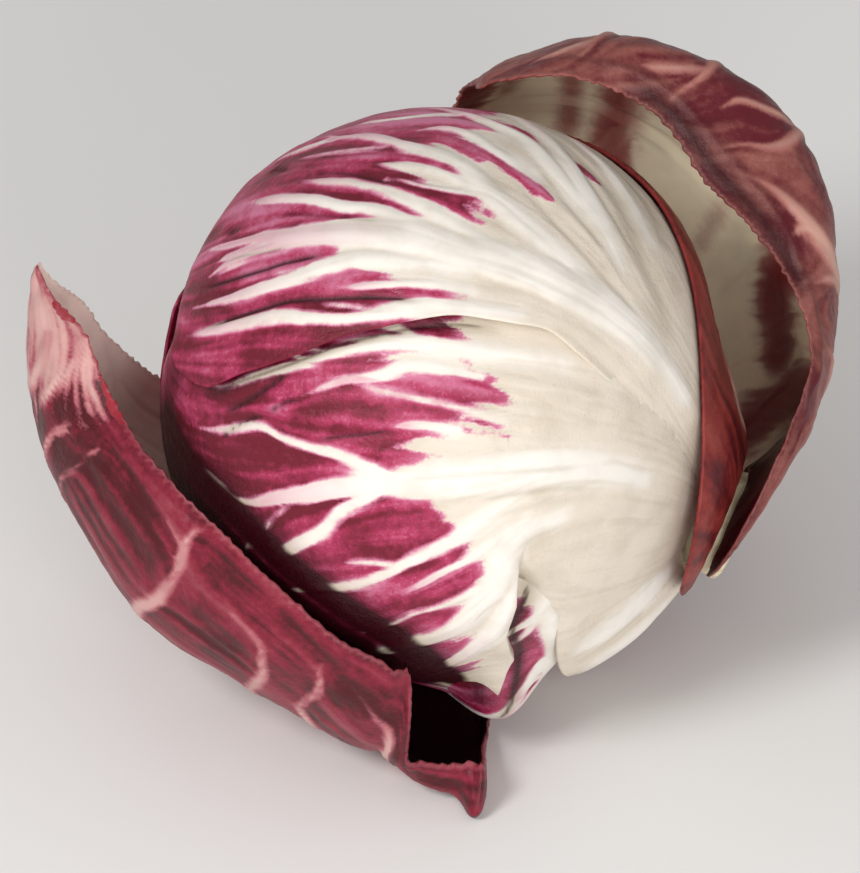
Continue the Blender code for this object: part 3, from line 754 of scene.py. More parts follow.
FRONT_RED_STARTS = [
    (-100, 66), (-56, 70), (-45, 72), (-38, 71), (-30, 74), (-24, 80), (-20, 88), (-16, 96), (-10, 95),
    (-5, 92), (-2, 87), (1, 84), (5, 82), (9, 92), (14, 94), (22, 100), (34, 104),
]
face = Face(front, 11).start_red(FRONT_RED_STARTS)
face.blush = 0.75 * ease(122, 160, front.theta) + 0.35 * ease(-40, -80, front.phi)
face.add_ribs(FRONT_RIBS).add_patches(FRONT_PATCHES).add_creases_and_shade(FRONT_CREASES_AND_SHADOWS).finish(fray=15)
# Painted shadow on the front leaf just past its turned-up edge, where the edge dives under
past_edge = np.radians(FRONT_EDGE_THETA - front.flat_theta) * front.radius
edge_shadow = ease(0.15, 0.6, past_edge) * (1 - ease(1.5, 6, past_edge))
face.shade = np.maximum(face.shade, 0.80 * edge_shadow * ease(-25, -33, front.phi))
leaf_piece("wrapper_front", front, face, face, LEAF, BALL_SKIN)

# %% [markdown]
# ## The upper leaf
# The upper leaf lies over the one in front. Its midrib is the widest white band on the head, and its lower
# margin crosses the ball and stands a little off it. Toward the stem the margin sinks into the white base
# until it can't be told from the leaf below.

# %% Upper leaf
UPPER_EDGE = [
    (12, 6, 84), (40, 18, 92), (63, 19.3, 96), (72, 20.4, 97), (80, 21.2, 98), (85, 19.6, 99),
    (90, 18.2, 99), (98, 15.8, 100), (104, 12.4, 100), (110, 8.4, 100), (116, 4.2, 99), (122, -2, 98),
    (129, -9.4, 98), (135, -16.4, 96), (141, -26, 94), (147, -31, 92), (168, -42, 84),
]


def upper_lift(theta, phi, share):
    """Sinks the margin into the base near the stem, and curls it outward a little across the ball."""
    low = np.interp(theta, [row[0] for row in UPPER_EDGE], [row[1] for row in UPPER_EDGE])
    off = np.radians(phi - low) * np.sin(np.radians(theta)) * UPPER_R * MM
    sink = -1.72 * (1 - ease(0, 9, off)) * (1 - ease(58, 78, theta))
    curl = 0.75 * np.exp(-((off / 1.6) ** 2)) * ease(76, 84, theta) * (1 - ease(96, 112, theta))
    open_edge = 0.35 * np.exp(-((off / 2.0) ** 2)) * ease(100, 114, theta)
    return sink + curl + open_edge


upper = wrapper_sheet(UPPER_EDGE, UPPER_R, 10, 200, 205, upper_lift)
UPPER_RIBS = [
    ([(44, 30), (60, 32), (70, 31.7), (80, 30.7), (90, 30), (100, 28.7), (110, 28.7), (120, 28),
      (130, 26.7), (140, 25.3), (150, 24.7), (160, 26)], 4.0, 1.7, 0.75),
    ([(86, 21.5), (95, 18.4), (102.5, 15.4), (110, 11.6), (115, 8.5), (120, 6.6), (125, 4.8), (130, 2.9),
      (135, -0.3), (140, -4), (145, -8.4), (150, -14), (156, -22)], 1.5, 0.6, 0.55),
    ([(98, 25), (110, 23.5), (120, 21), (125, 17.9), (130, 14.1), (135, 11), (140, 7.3), (145, 2.9),
      (150, -0.9), (157, -8)], 1.7, 0.6, 0.55),
    ([(126, 25.5), (134, 23.5), (140, 21.3), (146.7, 17.3), (152, 13.3), (156, 8.7)], 1.2, 0.4, 0.45),
    ([(96, 21.5), (104.7, 20), (113.3, 16.7), (120.7, 13.7)], 0.55, 0.15, 0.3),
    ([(72, 35), (80, 36.5), (86.7, 38.7), (93.3, 41.3), (100, 45.3), (106.7, 51.3), (114.7, 54.7),
      (120, 57.3), (126.7, 63.3), (133.3, 68), (136.7, 77.3)], 2.2, 0.9, 0.6),
    ([(76, 49), (84, 54), (90, 60), (96.7, 67.3), (103.3, 71.3), (110, 76.7), (116, 84)], 1.5, 0.6, 0.5),
    ([(92, 54), (102, 59.3), (107.3, 64), (113.3, 66), (117.3, 64.7)], 1.2, 0.4, 0.4),
    ([(98, 44.5), (106.7, 46.7), (113.3, 48.7), (120, 49.3), (126, 50.5)], 1.1, 0.3, 0.4),
    ([(92, 33), (100, 34), (106.7, 36), (113.3, 38), (120, 40.7), (126.7, 43.3), (133.3, 45.3),
      (142, 50)], 1.3, 0.5, 0.45),
    ([(106, 31), (113.3, 33.3), (120, 34.7), (126.7, 35.3), (133.3, 38), (140, 40.7), (146, 43.5),
      (154, 50)], 1.2, 0.5, 0.45),
    ([(70, 44), (80, 54), (88, 66), (96, 78), (104, 90)], 2.0, 0.6, 0.4),
    ([(66, 58), (78, 72), (90, 86)], 1.6, 0.5, 0.35), ([(133, 68), (141, 72), (149, 80)], 0.8, 0.3, 0.3),
    ([(120, 57), (128, 57.5), (136, 60), (144, 66)], 0.9, 0.3, 0.3),
    ([(100, 45.5), (106, 43.5), (113, 43.2), (120, 45)], 0.5, 0.2, 0.25),
    ([(110, 11.6), (118, 10), (124, 8.6)], 0.4, 0.1, 0.2),
    ([(140, 25.5), (148, 20.5), (155, 17.5)], 0.6, 0.2, 0.3),
    ([(108, 76), (116, 74), (124, 74), (132, 78)], 0.8, 0.3, 0.3),
]
# Creases, each darkened with painted shade; those along the lower margin paint the shadow of its fold
UPPER_CREASES = [
    ([(103, 16.6), (105, 16), (110, 14.8), (115, 13.2), (120, 11.3), (125, 9.4), (130, 7.3), (135, 3.5),
      (140, -0.9), (145, -6.5), (151, -13.5)], 0.55, 0.45, 0.95),
    ([(126, 20.8), (127.5, 20.4), (134.7, 17.3), (140, 14), (146.7, 10), (153, 6),
      (158, 1)], 0.55, 0.45, 0.9),
    ([(52, 38), (56, 43), (67, 52), (75, 63), (80, 67), (90, 72)], 2.6, 0.55, 0.42),
    ([(60, 62), (70, 74), (84, 84)], 2.2, 0.4, 0.35),
    ([(62, 36), (76, 40), (88, 46), (96, 52)], 0.9, 0.3, 0.22),
    ([(60, 28), (74, 27), (88, 26), (98, 23.5)], 1.0, 0.25, 0.16),
    ([(59, 20.6), (66, 21.2), (74, 22.4), (80, 23)], 1.3, 0.25, 0.30),
    ([(74, 45), (84, 51), (92, 58)], 1.0, 0.3, 0.25),
    ([(119, 42.6), (128, 47), (138, 50.5)], 0.5, 0.3, 0.7),
    ([(118, 31.6), (130, 32.2), (142, 35)], 0.45, 0.25, 0.5),
    ([(68, 50), (80, 60), (88, 72)], 0.8, 0.3, 0.3), ([(144, 60), (149, 70)], 0.8, 0.4, 0.9),
    ([(153, 30), (156, 38)], 0.8, 0.4, 0.9), ([(136, 21.5), (146, 18.6), (152, 17)], 0.4, 0.25, 0.5),
]
UPPER_PATCHES = [
    ([(100, 40), (108, 40.5), (116, 43), (124, 47)], 2.6, 1, "red"),
    ([(104, 47.5), (114, 51.5), (122, 54)], 1.6, 1, "red"),
    ([(90, 50), (97, 54), (105, 59)], 1.3, 1, "red"), ([(104, 56), (111, 60), (117, 61)], 1.6, 1, "red"),
    ([(93, 68), (102, 74)], 1.5, 1, "red"), ([(81, 65), (91, 70)], 0.9, 1, "red"),
    ([(98, 19.5), (108, 17.8), (118, 16)], 1.5, 1, "red"),
    ([(100, 24), (112, 21.5), (122, 23.5)], 2.2, 0, "cream"),
    ([(120, 36.6), (130, 40), (142, 46)], 2.5, 0, "deep"),
    ([(106, 38), (116, 43), (124, 47)], 4, 0, "deep"), ([(130, 31), (148, 34)], 4, 0, "bright"),
    ([(105, 70), (128, 72)], 6, 0, "bright"), ([(108, 13), (124, 6.5)], 3, 0, "deep"),
    # The last patch, a deep one near the head's apex, is painted shade at the ball's far left edge
    ([(128, 18), (142, 10)], 3, 0, "bright"), ([(148, 0), (160, 0)], 8, 0, "deep"),
]
UPPER_RED_STARTS = [
    (-42, 96), (4, 103), (12, 104), (16, 106), (20, 124), (26, 128), (31, 126), (35, 110), (40, 116),
    (48, 118), (54, 116), (60, 112), (66, 108), (72, 104), (78, 108), (90, 100), (100, 96),
]
face = Face(upper, 23).start_red(UPPER_RED_STARTS)
face.blush = 0.8 * ease(126, 160, upper.theta) + 0.3 * ease(70, 95, upper.phi)
face.add_ribs(UPPER_RIBS).add_patches(UPPER_PATCHES).add_creases_and_shade(UPPER_CREASES).finish(fray=15)
leaf_piece("wrapper_upper", upper, face, face, LEAF, BALL_SKIN)

# %% [markdown]
# ## The leaf under the turned-up edge, and the stub
# Below the front leaf's turned-up edge a strip of the next leaf shows, with one cream rib that spreads toward
# the tip. Over its base lies the stub of a leaf that was broken off. The stub is thick and quite smooth.
# It swells from the white base and ends in a clean edge, with a dark gap beside it.

# %% Lower leaf and stub
LOWER_EDGE = [(12, -150, -10), (60, -172, -8), (120, -172, -10), (168, -160, -14)]


def lower_lift(theta, phi, share):
    return belly(theta, phi) + 0.9 * (1 - ease(50, 66, theta))


lower = wrapper_sheet(LOWER_EDGE, LOWER_R, 5, 150, 220, lower_lift)
LOWER_RIBS = [
    ([(40, -32), (47, -41), (48.6, -48), (45.5, -58), (44, -68), (44.2, -79), (47, -86), (51, -88),
      (56, -90), (63, -95)], 2.6, 2.6, 0.9),
    ([(53, -38), (54, -46), (55, -54), (57, -60)], 0.9, 0.3, 0.3),
    ([(47, -83), (50, -80), (54, -80)], 1.0, 0.3, 0.4),
    ([(40, -60), (60, -90), (90, -104), (130, -110)], 2.6, 0.8, 0.7),
    ([(51, -43), (57, -50), (62, -60)], 0.9, 0.3, 0.4),
    ([(40, -24), (60, -20), (90, -22), (120, -30)], 1.5, 0.5, 0.4),
    ([(30, -90), (50, -120), (80, -136), (120, -140)], 1.8, 0.5, 0.5),
]
LOWER_RED_STARTS = [
    (-172, 60), (-110, 46), (-84, 44), (-66, 47), (-52, 52), (-44, 55), (-38, 62), (-30, 72), (-8, 90),
]
# Painted shadows on this leaf: at the foot of the front leaf's turned-up edge, in the gap beside the stub,
# and a broad painted shade beside that edge
LOWER_CREASES_AND_SHADOWS = [
    ([(61, -27), (60, -33), (58.6, -39), (58.2, -50), (54, -62), (54, -78), (58, -92)], 1.5, 0.0, 0.93),
    ([(52, -38), (47, -47), (43, -60), (41, -80)], 1.0, 0.3, 0.92),
    ([(66, -50), (62, -66), (60, -84)], 4.0, 0.0, 0.8),
]
LOWER_PATCHES = [
    ([(46, -46), (44, -56), (43, -70), (43, -84)], 1.4, 0, "red"),
    ([(57, -42), (57, -52), (60, -64)], 1.8, 0, "deep"),
]
face = Face(lower, 31).start_red(LOWER_RED_STARTS)
face.add_ribs(LOWER_RIBS).add_creases_and_shade(LOWER_CREASES_AND_SHADOWS).add_patches(LOWER_PATCHES).finish(fray=7)
leaf_piece("wrapper_lower", lower, face, face, LEAF, BALL_SKIN)

STUB_EDGE = [(12, -98, -16), (26, -101, -20), (38, -100, -24), (46, -95, -32)]


def stub_lift(theta, phi, share):
    """The stub's high side sinks into the base, and its belly swells."""
    return -4.6 * ease(-95, -30, phi) + 0.4 * np.exp(-(((share - 0.2) / 0.16) ** 2)) * ease(14, 30, theta)


stub = wrapper_sheet(STUB_EDGE, LOOSE, 1, 110, 200, stub_lift, slant=5)
STUB_RIBS = [
    ([(20, -20), (34, -26), (46, -40)], 3, 2, 0.2), ([(18, -50), (30, -56), (42, -64)], 3.5, 3, 0.3),
    ([(20, -80), (32, -82), (42, -84)], 3, 2, 0.3),
]
# Two shallow creases, with a little painted shade in them
STUB_CREASES = [
    ([(22, -34), (34, -42), (44, -52)], 1.6, 0.25, 0.12), ([(24, -66), (36, -72), (42, -75)], 1.8, 0.3, 0.14),
]
face = Face(stub, 41).add_ribs(STUB_RIBS).add_creases_and_shade(STUB_CREASES).finish(folds=0.08)
face.blush[:] = 0
leaf_piece("leaf_stub", stub, face, face, STUB, BALL_SKIN)

# %% [markdown]
# ## Leaves on the hidden sides
# Behind and below, the ball is closed by leaves of the same kind. Their veins can be laid out by rule: one
# midrib, and side ribs that leave it in pairs, bend toward the tip, and fork once or twice.

# %% Veins by rule


def everywhere(theta):
    """The purple begins at the same theta all round."""
    return [(-2000, theta), (2000, theta)]


def rib_fan(pairs, wide, middle=0.5, lean=0.20, forks=True, reach=0.43, sides=(-1, 1), seed=0):
    """Ribs of a whole leaf as (up, across) routes."""
    rng = np.random.default_rng(seed)
    first, last = 0.10, 0.80
    ribs = [([(0.0, middle), (0.35, middle + 0.01), (0.7, middle - 0.01), (0.97, middle)], wide, 0.5, 0.8)]
    for k in range(pairs):
        for side in sides:
            up = first + (last - first) * (k + rng.uniform(-0.2, 0.2) + (0.25 if side > 0 else 0)) / pairs
            bend = lean * rng.uniform(0.8, 1.3)
            size = wide * (0.55 - 0.3 * k / pairs)
            ends = reach * rng.uniform(0.85, 1.1)
            route = [(up + bend * s**1.6 * 1.2, middle + side * ends * s) for s in (0, 0.25, 0.5, 0.75, 1)]
            route = [(min(u, 0.985), float(np.clip(v, 0.015, 0.985))) for u, v in route]
            ribs.append((route, size, 0.25, 0.45))
            if not forks:
                continue
            for fork, way in ((0.35, 1), (0.6, -0.4), (0.7, 1)):
                u0, v0 = route[int(fork * 4)]
                ahead = [(u0, v0), (u0 + 0.05 + 0.03 * way, v0 + side * 0.05)]
                ahead += [(u0 + 0.10 + 0.09 * way, v0 + side * 0.12)]
                ahead = [(float(np.clip(u, 0, 0.985)), float(np.clip(v, 0.015, 0.985))) for u, v in ahead]
                ribs.append((ahead, size * 0.45, 0.15, 0.3))
    return ribs


UNDER_EDGE = [(12, -190, -118), (60, -204, -112), (110, -206, -112), (150, -200, -124), (166, -196, -136)]
BACK_EDGE = [(12, 70, 190), (60, 58, 212), (120, 52, 214), (172, 50, 205)]
for name, outline, radius, tip, seed in (
    ("wrapper_under", UNDER_EDGE, UPPER_R, 10, 51), ("wrapper_back", BACK_EDGE, FRONT_R, 8, 52),
):
    sheet = wrapper_sheet(outline, radius, tip, 150, 160)
    face = Face(sheet, seed).start_red(everywhere(62))
    face.add_ribs(rib_fan(6, 3.4, seed=seed), by="share").finish(fray=14)
    leaf_piece(name, sheet, face, face, LEAF, BALL_SKIN)

FINE_INNER_LEAVES = 3  # the outermost ones, which can show in the gaps of the ball
INNER_HALF_WIDTHS = [(8, 70), (60, 110), (178.5, 112)]  # (theta, half the width in degrees)
for number in range(INNER_COUNT):
    middle = FIRST_LEAF_PHI + LEAF_ANGLE * number
    outline = [(theta, middle - half, middle + half) for theta, half in INNER_HALF_WIDTHS]
    fine = number < FINE_INNER_LEAVES
    sheet = wrapper_sheet(outline, INNER_R - INNER_STEP * number, 0.5, *((90, 120) if fine else (40, 60)))
    face = Face(sheet, 60 + number).start_red(everywhere(78 + 6 * number))
    face.add_ribs(rib_fan(5 if fine else 3, 3.0, seed=60 + number, forks=fine), by="share").finish(fray=14)
    leaf_piece(f"inner_leaf_{number + 1}", sheet, face, face, INNER_LEAF, BALL_SKIN)

# %% [markdown]
# ## The loose leaves
# The leaf behind the ball has come a little away from it, so that its dark red edge shows. Behind that
# stands a large leaf with its rim rolled inward, and in front and below lies another, shaped like a boat,
# that ends in a point. Their nets are the frame's. On top of the net come teeth along the rim, a ruffle, and
# other colours inside than outside.

# %% Loose leaf behind the ball
REAR_LOOSE_EDGE = [
    (12, -84, 170), (18, -60, 182), (24, -22, 190), (32, 15, 196), (40, 37, 200), (50, 58, 203),
    (62, 74, 205), (78, 90, 205), (98, 106, 204), (122, 116, 202), (148, 122, 196),
]


def loose_flare(theta, phi, share):
    """Near the stem the leaf stands off the ball. Further up it lies close."""
    stands = 1.5 * ease(11, 16, theta) * (1 - ease(24, 36, theta)) * (1 - ease(100, 130, phi))
    return stands - 0.5 * ease(30, 44, theta) - 0.4 * ease(62, 86, theta)


STRAP_SKIN = leaf_finish(
    "red_brown_leaf", ivory=(0.34, 0.11, 0.08), white=(0.62, 0.38, 0.32), deep=(0.095, 0.006, 0.010),
    bright=(0.24, 0.024, 0.019), pink=(0.30, 0.060, 0.050), tint_and_shade=(0.12, 0.05, 0.03),
    painted_deep_shade=(0.03, 0.002, 0.002), inside_ivory=(0.60, 0.40, 0.22), inside_deep=(0.20, 0.01, 0.014),
    rough=0.44, rib_edge=(-1.5, 1.3), bump=0.3,
)
sheet = wrapper_sheet(REAR_LOOSE_EDGE, LOOSE, 12, 190, 180, loose_flare)
cut_teeth(sheet, 3.2, 0.35, 70)
face = Face(sheet, 71).start_red(everywhere(8))
face.add_ribs(rib_fan(7, 2.6, middle=0.62, reach=0.31, seed=71), by="share").finish(fray=10)
leaf_piece("wrapper_rear_loose", sheet, face, face, LEAF, STRAP_SKIN)

# %% [markdown]
# ## The large leaf behind
# This leaf leans away from the ball, and its rim rolls inward along the side that is seen. It is given as
# rows of handles from the stem to the tip, and a smooth sheet is laid through them. A ruffle and teeth are
# added before the veins. Outside it is a brownish mauve with paler ribs. Inside it is cream, with red stains
# whose edges are soft.

# %% Large leaf behind
REAR_NET = [
    (11.3, [(-62, 57.4), (-35, 57.4), (20, 57.4), (75, 57.4), (130, 57.4), (165, 57.4)]),
    (20, [(28, 62.5), (52, 65), (82, 66), (118, 65.5), (150, 64), (174, 63)]),
    (30, [(66, 67.3), (79, 69.5), (95, 70.5), (124, 70.5), (156, 68.5), (176, 67)]),
    (40, [(79, 67.3), (87, 72.8), (101, 74.5), (129, 73.5), (158, 70.5), (180, 69)]),
    (52, [(80, 64.6), (89, 78), (105, 78), (132, 76), (158, 73), (181, 72)]),
    (64, [(82, 62.5), (90, 79.3), (107, 79), (134, 77), (158, 74.5), (180, 73.5)]),
    (76, [(87, 64.5), (91, 77), (107, 77), (132, 76), (155, 74.5), (177, 74)]),
    (88, [(86, 64), (91, 72), (108, 73), (130, 73), (152, 72.5), (171, 73)]),
    (98, [(86, 61), (93, 64.8), (110, 67.5), (130, 69), (149, 70), (165, 71)]),
    (106.5, [(94, 57), (99, 58.5), (114, 62), (131, 64.5), (147, 66.5), (160, 68.5)]),
]


def ruffle(sheet, size, wave, seed):
    """Waves the leaf near its rim, in mm."""
    rim = rim_distance(sheet)
    lumps = speckle(sheet.mm, wave, seed) - 0.5 + 0.5 * (speckle(sheet.mm, wave / 2, seed + 1) - 0.5)
    amount = size * (0.25 + 0.75 * np.exp(-rim / 8)) * lumps * ease(0.0, 0.12, sheet.up)
    sheet.points = sheet.points + sheet.normals * (amount / MM)[..., None]
    sheet.refresh()


rear = free_sheet(REAR_NET, 230, 165)
ruffle(rear, 1.6, 9, 80)
cut_teeth(rear, 2.3, 0.7, 81)
REAR_RIBS = rib_fan(7, 2.6, middle=0.6, lean=0.16, sides=(1,), seed=82, reach=0.38)
REAR_RIBS += [
    ([(0.56, 0.6), (0.61, 0.42), (0.645, 0.3), (0.652, 0.218), (0.657, 0.133), (0.665, 0.085),
      (0.67, 0.05)], 1.6, 0.8, 0.5),
    ([(0.42, 0.6), (0.49, 0.42), (0.522, 0.242), (0.535, 0.121), (0.557, 0.091),
      (0.57, 0.06)], 1.6, 0.7, 0.5),
    ([(0.26, 0.6), (0.33, 0.35), (0.37, 0.182), (0.404, 0.133), (0.448, 0.103), (0.491, 0.079),
      (0.52, 0.06)], 1.7, 0.8, 0.5),
    ([(0.28, 0.45), (0.335, 0.25), (0.343, 0.17), (0.345, 0.09)], 1.1, 0.5, 0.4),
    ([(0.70, 0.6), (0.75, 0.4), (0.80, 0.2), (0.82, 0.1)], 1.5, 0.5, 0.5),
    ([(0.14, 0.6), (0.2, 0.35), (0.24, 0.15)], 1.6, 0.6, 0.5),
    ([(0.522, 0.242), (0.56, 0.19), (0.60, 0.15), (0.61, 0.11)], 0.8, 0.3, 0.3),
    ([(0.41, 0.13), (0.42, 0.1), (0.42, 0.07)], 0.6, 0.3, 0.3),
    ([(0.80, 0.2), (0.86, 0.13), (0.90, 0.1)], 0.7, 0.3, 0.3),
    ([(0.655, 0.17), (0.70, 0.12), (0.73, 0.1)], 0.7, 0.3, 0.3),
]
# Along the rolled rim: a raised ridge and a shallow groove, both with painted shade, the groove dark enough
# to stand for the shade inside the roll
REAR_CREASES = [
    ([(0.93, 0.1), (0.85, 0.085), (0.778, 0.079), (0.696, 0.073), (0.63, 0.061), (0.526, 0.061),
      (0.413, 0.061), (0.335, 0.055), (0.23, 0.075), (0.15, 0.07)], 0.8, -0.35, 0.35),
    ([(0.75, 0.03), (0.6, 0.025), (0.45, 0.025), (0.3, 0.025)], 2.2, 0.1, 0.8),
]
# The bright patch near the rim is a painted highlight on the rolled margin
REAR_PATCHES = [
    ([(0.66, 0.12), (0.61, 0.21)], 5, 0, "deep"), ([(0.55, 0.16), (0.59, 0.12)], 5, 0, "deep"),
    ([(0.47, 0.07), (0.40, 0.07)], 3, 0, "deep"), ([(0.60, 0.04), (0.47, 0.045)], 1.4, 0, "bright"),
]
REAR_STAINS = [
    ([(0.86, 0.25), (0.82, 0.42), (0.757, 0.66)], 3.6, 0.40),
    ([(0.745, 0.25), (0.735, 0.45), (0.69, 0.7)], 5.5, 0.55), ([(0.54, 0.42), (0.548, 0.68)], 3.4, 0.26),
    ([(0.45, 0.42), (0.40, 0.60), (0.28, 0.68)], 6.5, 0.85),
    ([(0.34, 0.84), (0.27, 0.72), (0.16, 0.5)], 6.0, 0.9), ([(0.92, 0.3), (0.90, 0.55)], 3.4, 0.35),
]
outer = Face(rear, 83).start_red(everywhere(5)).add_ribs(REAR_RIBS, by="share")
outer.add_creases_and_shade(REAR_CREASES, by="share").add_patches(REAR_PATCHES, by="share")
outer.finish(fray=8, folds=0.35, pucker=0.3, rib_fray=0.4)
inner = Face(rear, 84).start_red(everywhere(200))
inner.add_ribs(rib_fan(6, 2.4, middle=0.55, seed=85, lean=0.16), by="share")
inner.red = np.maximum(inner.red, 5 - 0.9 * rim_distance(rear))
# Painted shade deep inside the cup, near the stem
inner.shade = np.maximum(inner.shade, 0.9 * (1 - ease(0.12, 0.27, rear.up + 0.08 * (rear.over - 0.5))))
inner.finish(fray=8, soft=8, folds=0.3)
inner.rib = np.minimum(inner.rib, -1.3)
inner.add_stains(REAR_STAINS)
leaf_piece("outer_leaf_rear", rear, outer, inner, LEAF, REAR_SKIN)

# %% [markdown]
# ## The large leaf in front and below
# The head's weight rests on this leaf, so its underside is pressed flat where it meets the table, and no
# point of it may go lower. Its near side rises as the wall of a boat, and both sides close to a point at the
# far end. Most of what shows is the outside, burgundy with a few paler ribs that fade into a pale tip. The
# inside is cream, and dark where the ball shades it.

# %% Large leaf in front and below
BOAT_NET = [
    (12, [(-148, 56.6), (-151, 56.6), (-155, 56.6), (-160, 56.6), (-168, 56.6), (-177, 56.6)]),
    (30, [(-130, 57), (-133, 57), (-137, 57), (-146, 57.2), (-164, 57.5), (-182, 58)]),
    (48, [(-121, 57.3), (-124, 57.3), (-128, 57.3), (-140, 57.2), (-163, 58.5), (-188, 60)]),
    (57.4, [(-112, 57.8), (-115, 57.8), (-120, 57.8), (-135, 57.2), (-162, 59), (-190, 61)]),
    (59.4, [(-91, 62.5), (-98, 61.8), (-109, 60), (-133, 57.2), (-162, 59), (-190, 61.2)]),
    (61.2, [(-79, 67.5), (-85, 72), (-103, 64), (-132, 57.2), (-162, 59), (-190, 61.5)]),
    (62.6, [(-80, 67), (-83.5, 75.3), (-103, 64.5), (-132, 57.2), (-163, 59), (-190, 62)]),
    (64.3, [(-80.5, 66.8), (-86.5, 71.6), (-103, 64.2), (-132, 57.2), (-163, 59), (-190, 62)]),
    (67.6, [(-80.5, 66.6), (-87, 69.8), (-102, 63.6), (-132, 57.2), (-163, 59.5), (-190, 62.5)]),
    (70.6, [(-80, 66.2), (-87, 68.4), (-101.5, 63.3), (-131, 57.2), (-163, 59.5), (-190, 62.8)]),
    (73.0, [(-79.5, 65.6), (-87, 66.8), (-101, 63), (-131, 57.2), (-163, 59.5), (-190, 62.9)]),
    (74.3, [(-70, 61.5), (-84, 66), (-100.5, 62.8), (-131, 57.2), (-163, 59.5), (-190, 63)]),
    (75.5, [(-65, 57.6), (-80, 64.5), (-100, 62.5), (-131, 57.2), (-163, 59.5), (-190, 63)]),
    (80, [(-60, 57), (-77.5, 63.2), (-95, 63.6), (-131, 57.3), (-163, 59.5), (-189, 63)]),
    (90, [(-58, 56.2), (-74, 60), (-93, 62.2), (-130, 57.5), (-161, 60), (-187, 63)]),
    (105, [(-53.5, 56), (-70, 60.5), (-91, 62.6), (-129, 59), (-158, 61), (-180, 63)]),
    (120, [(-52, 56.2), (-70, 62), (-91, 66.3), (-127, 62), (-152, 62), (-168, 62)]),
    (134, [(-54.5, 57.5), (-70, 63.5), (-92, 68.2), (-122, 66), (-143, 64.5), (-157, 61.5)]),
    (147, [(-60, 60), (-74, 66), (-93, 71.5), (-115, 71), (-134, 67), (-150, 61.5)]),
    (158, [(-65, 63), (-78, 69.5), (-95, 74), (-112, 73.5), (-130, 69), (-147, 66)]),
    (167, [(-64, 69), (-80, 73), (-98, 75.5), (-112, 75.5), (-128, 73), (-142, 70)]),
    (174, [(-100, 77), (-105, 77.2), (-110, 77.4), (-114, 77.4), (-118, 77.2), (-122, 77)]),
]
BOAT_LEVELS = (12, 30, 48, 58, 63, 68, 74, 80, 90, 105, 120, 134, 147, 158, 167, 174)
boat = free_sheet(BOAT_NET, 300, 130, BOAT_LEVELS)
ruffle(boat, 0.7, 8, 90)
cut_teeth(boat, 2.3, 0.7, 91)
BOAT_RIBS = rib_fan(7, 1.8, middle=0.6, lean=0.12, sides=(1,), seed=92, reach=0.38)
BOAT_RIBS += [
    ([(0.53, 0.6), (0.63, 0.5), (0.673, 0.4), (0.673, 0.246), (0.677, 0.154), (0.683, 0.1), (0.695, 0.085),
      (0.71, 0.075)], 2.4, 0.7, 0.5),
    ([(0.677, 0.154), (0.684, 0.09), (0.687, 0.038), (0.683, 0.012)], 0.8, 0.3, 0.25),
    ([(0.45, 0.6), (0.55, 0.48), (0.577, 0.385), (0.583, 0.208), (0.603, 0.138),
      (0.623, 0.131)], 1.7, 0.5, 0.4),
    ([(0.46, 0.5), (0.54, 0.3), (0.537, 0.169), (0.54, 0.115), (0.545, 0.08)], 1.0, 0.3, 0.3),
    ([(0.34, 0.5), (0.40, 0.33), (0.417, 0.246), (0.437, 0.146), (0.47, 0.115),
      (0.505, 0.09)], 1.6, 0.5, 0.4),
    ([(0.66, 0.6), (0.76, 0.48), (0.777, 0.423), (0.797, 0.2), (0.80, 0.138)], 0.7, 0.2, 0.25),
    ([(0.72, 0.6), (0.80, 0.45), (0.817, 0.377), (0.833, 0.208)], 0.7, 0.2, 0.25),
    ([(0.86, 0.5), (0.89, 0.3), (0.92, 0.2)], 1.3, 0.5, 0.3),
    ([(0.86, 0.3), (0.88, 0.15), (0.90, 0.05)], 0.7, 0.3, 0.3),
]
BOAT_PATCHES = [
    ([(0.72, 0.30), (0.71, 0.2), (0.74, 0.15)], 7, 0, "deep"),
    ([(0.46, 0.07), (0.50, 0.12), (0.53, 0.17)], 6, 0, "deep"), ([(0.62, 0.3), (0.61, 0.2)], 4, 0, "deep"),
    ([(0.84, 0.4), (0.84, 0.05)], 6, 0, "deep"),
    ([(0.60, 0.03), (0.68, 0.03), (0.76, 0.04)], 4, 0, "bright"),
]
BOAT_STAINS = [
    ([(0.97, 0.25), (0.92, 0.16), (0.84, 0.12), (0.76, 0.12)], 2.6, 0.62),
    ([(0.80, 0.5), (0.74, 0.45)], 4, 0.3),
]
outer = Face(boat, 93).start_red(everywhere(5)).add_ribs(BOAT_RIBS, by="share")
outer.add_patches(BOAT_PATCHES, by="share")
outer.flow = outer.flow + 0.07 * outer.upward
outer.finish(fray=8, folds=0.3, pucker=0.25, rib_fray=0.8)
tip = ease(0.80, 0.90, boat.up + 0.05 * (outer.streak - 0.5) + 0.015 * np.sin(14 * boat.over))
outer.red = outer.red * (1 - tip * (0.45 + 0.65 * outer.streak))
outer.rib = np.maximum(outer.rib, -2.6 + 3.2 * tip * (0.35 + 0.65 * outer.streak))
inner = Face(boat, 94).start_red(everywhere(200))
inner.add_ribs(rib_fan(6, 2.4, middle=0.6, seed=95, lean=0.12), by="share")
inner.red = np.maximum(inner.red, 2.5 - rim_distance(boat) - 20 * ease(0.5, 0.6, boat.over))
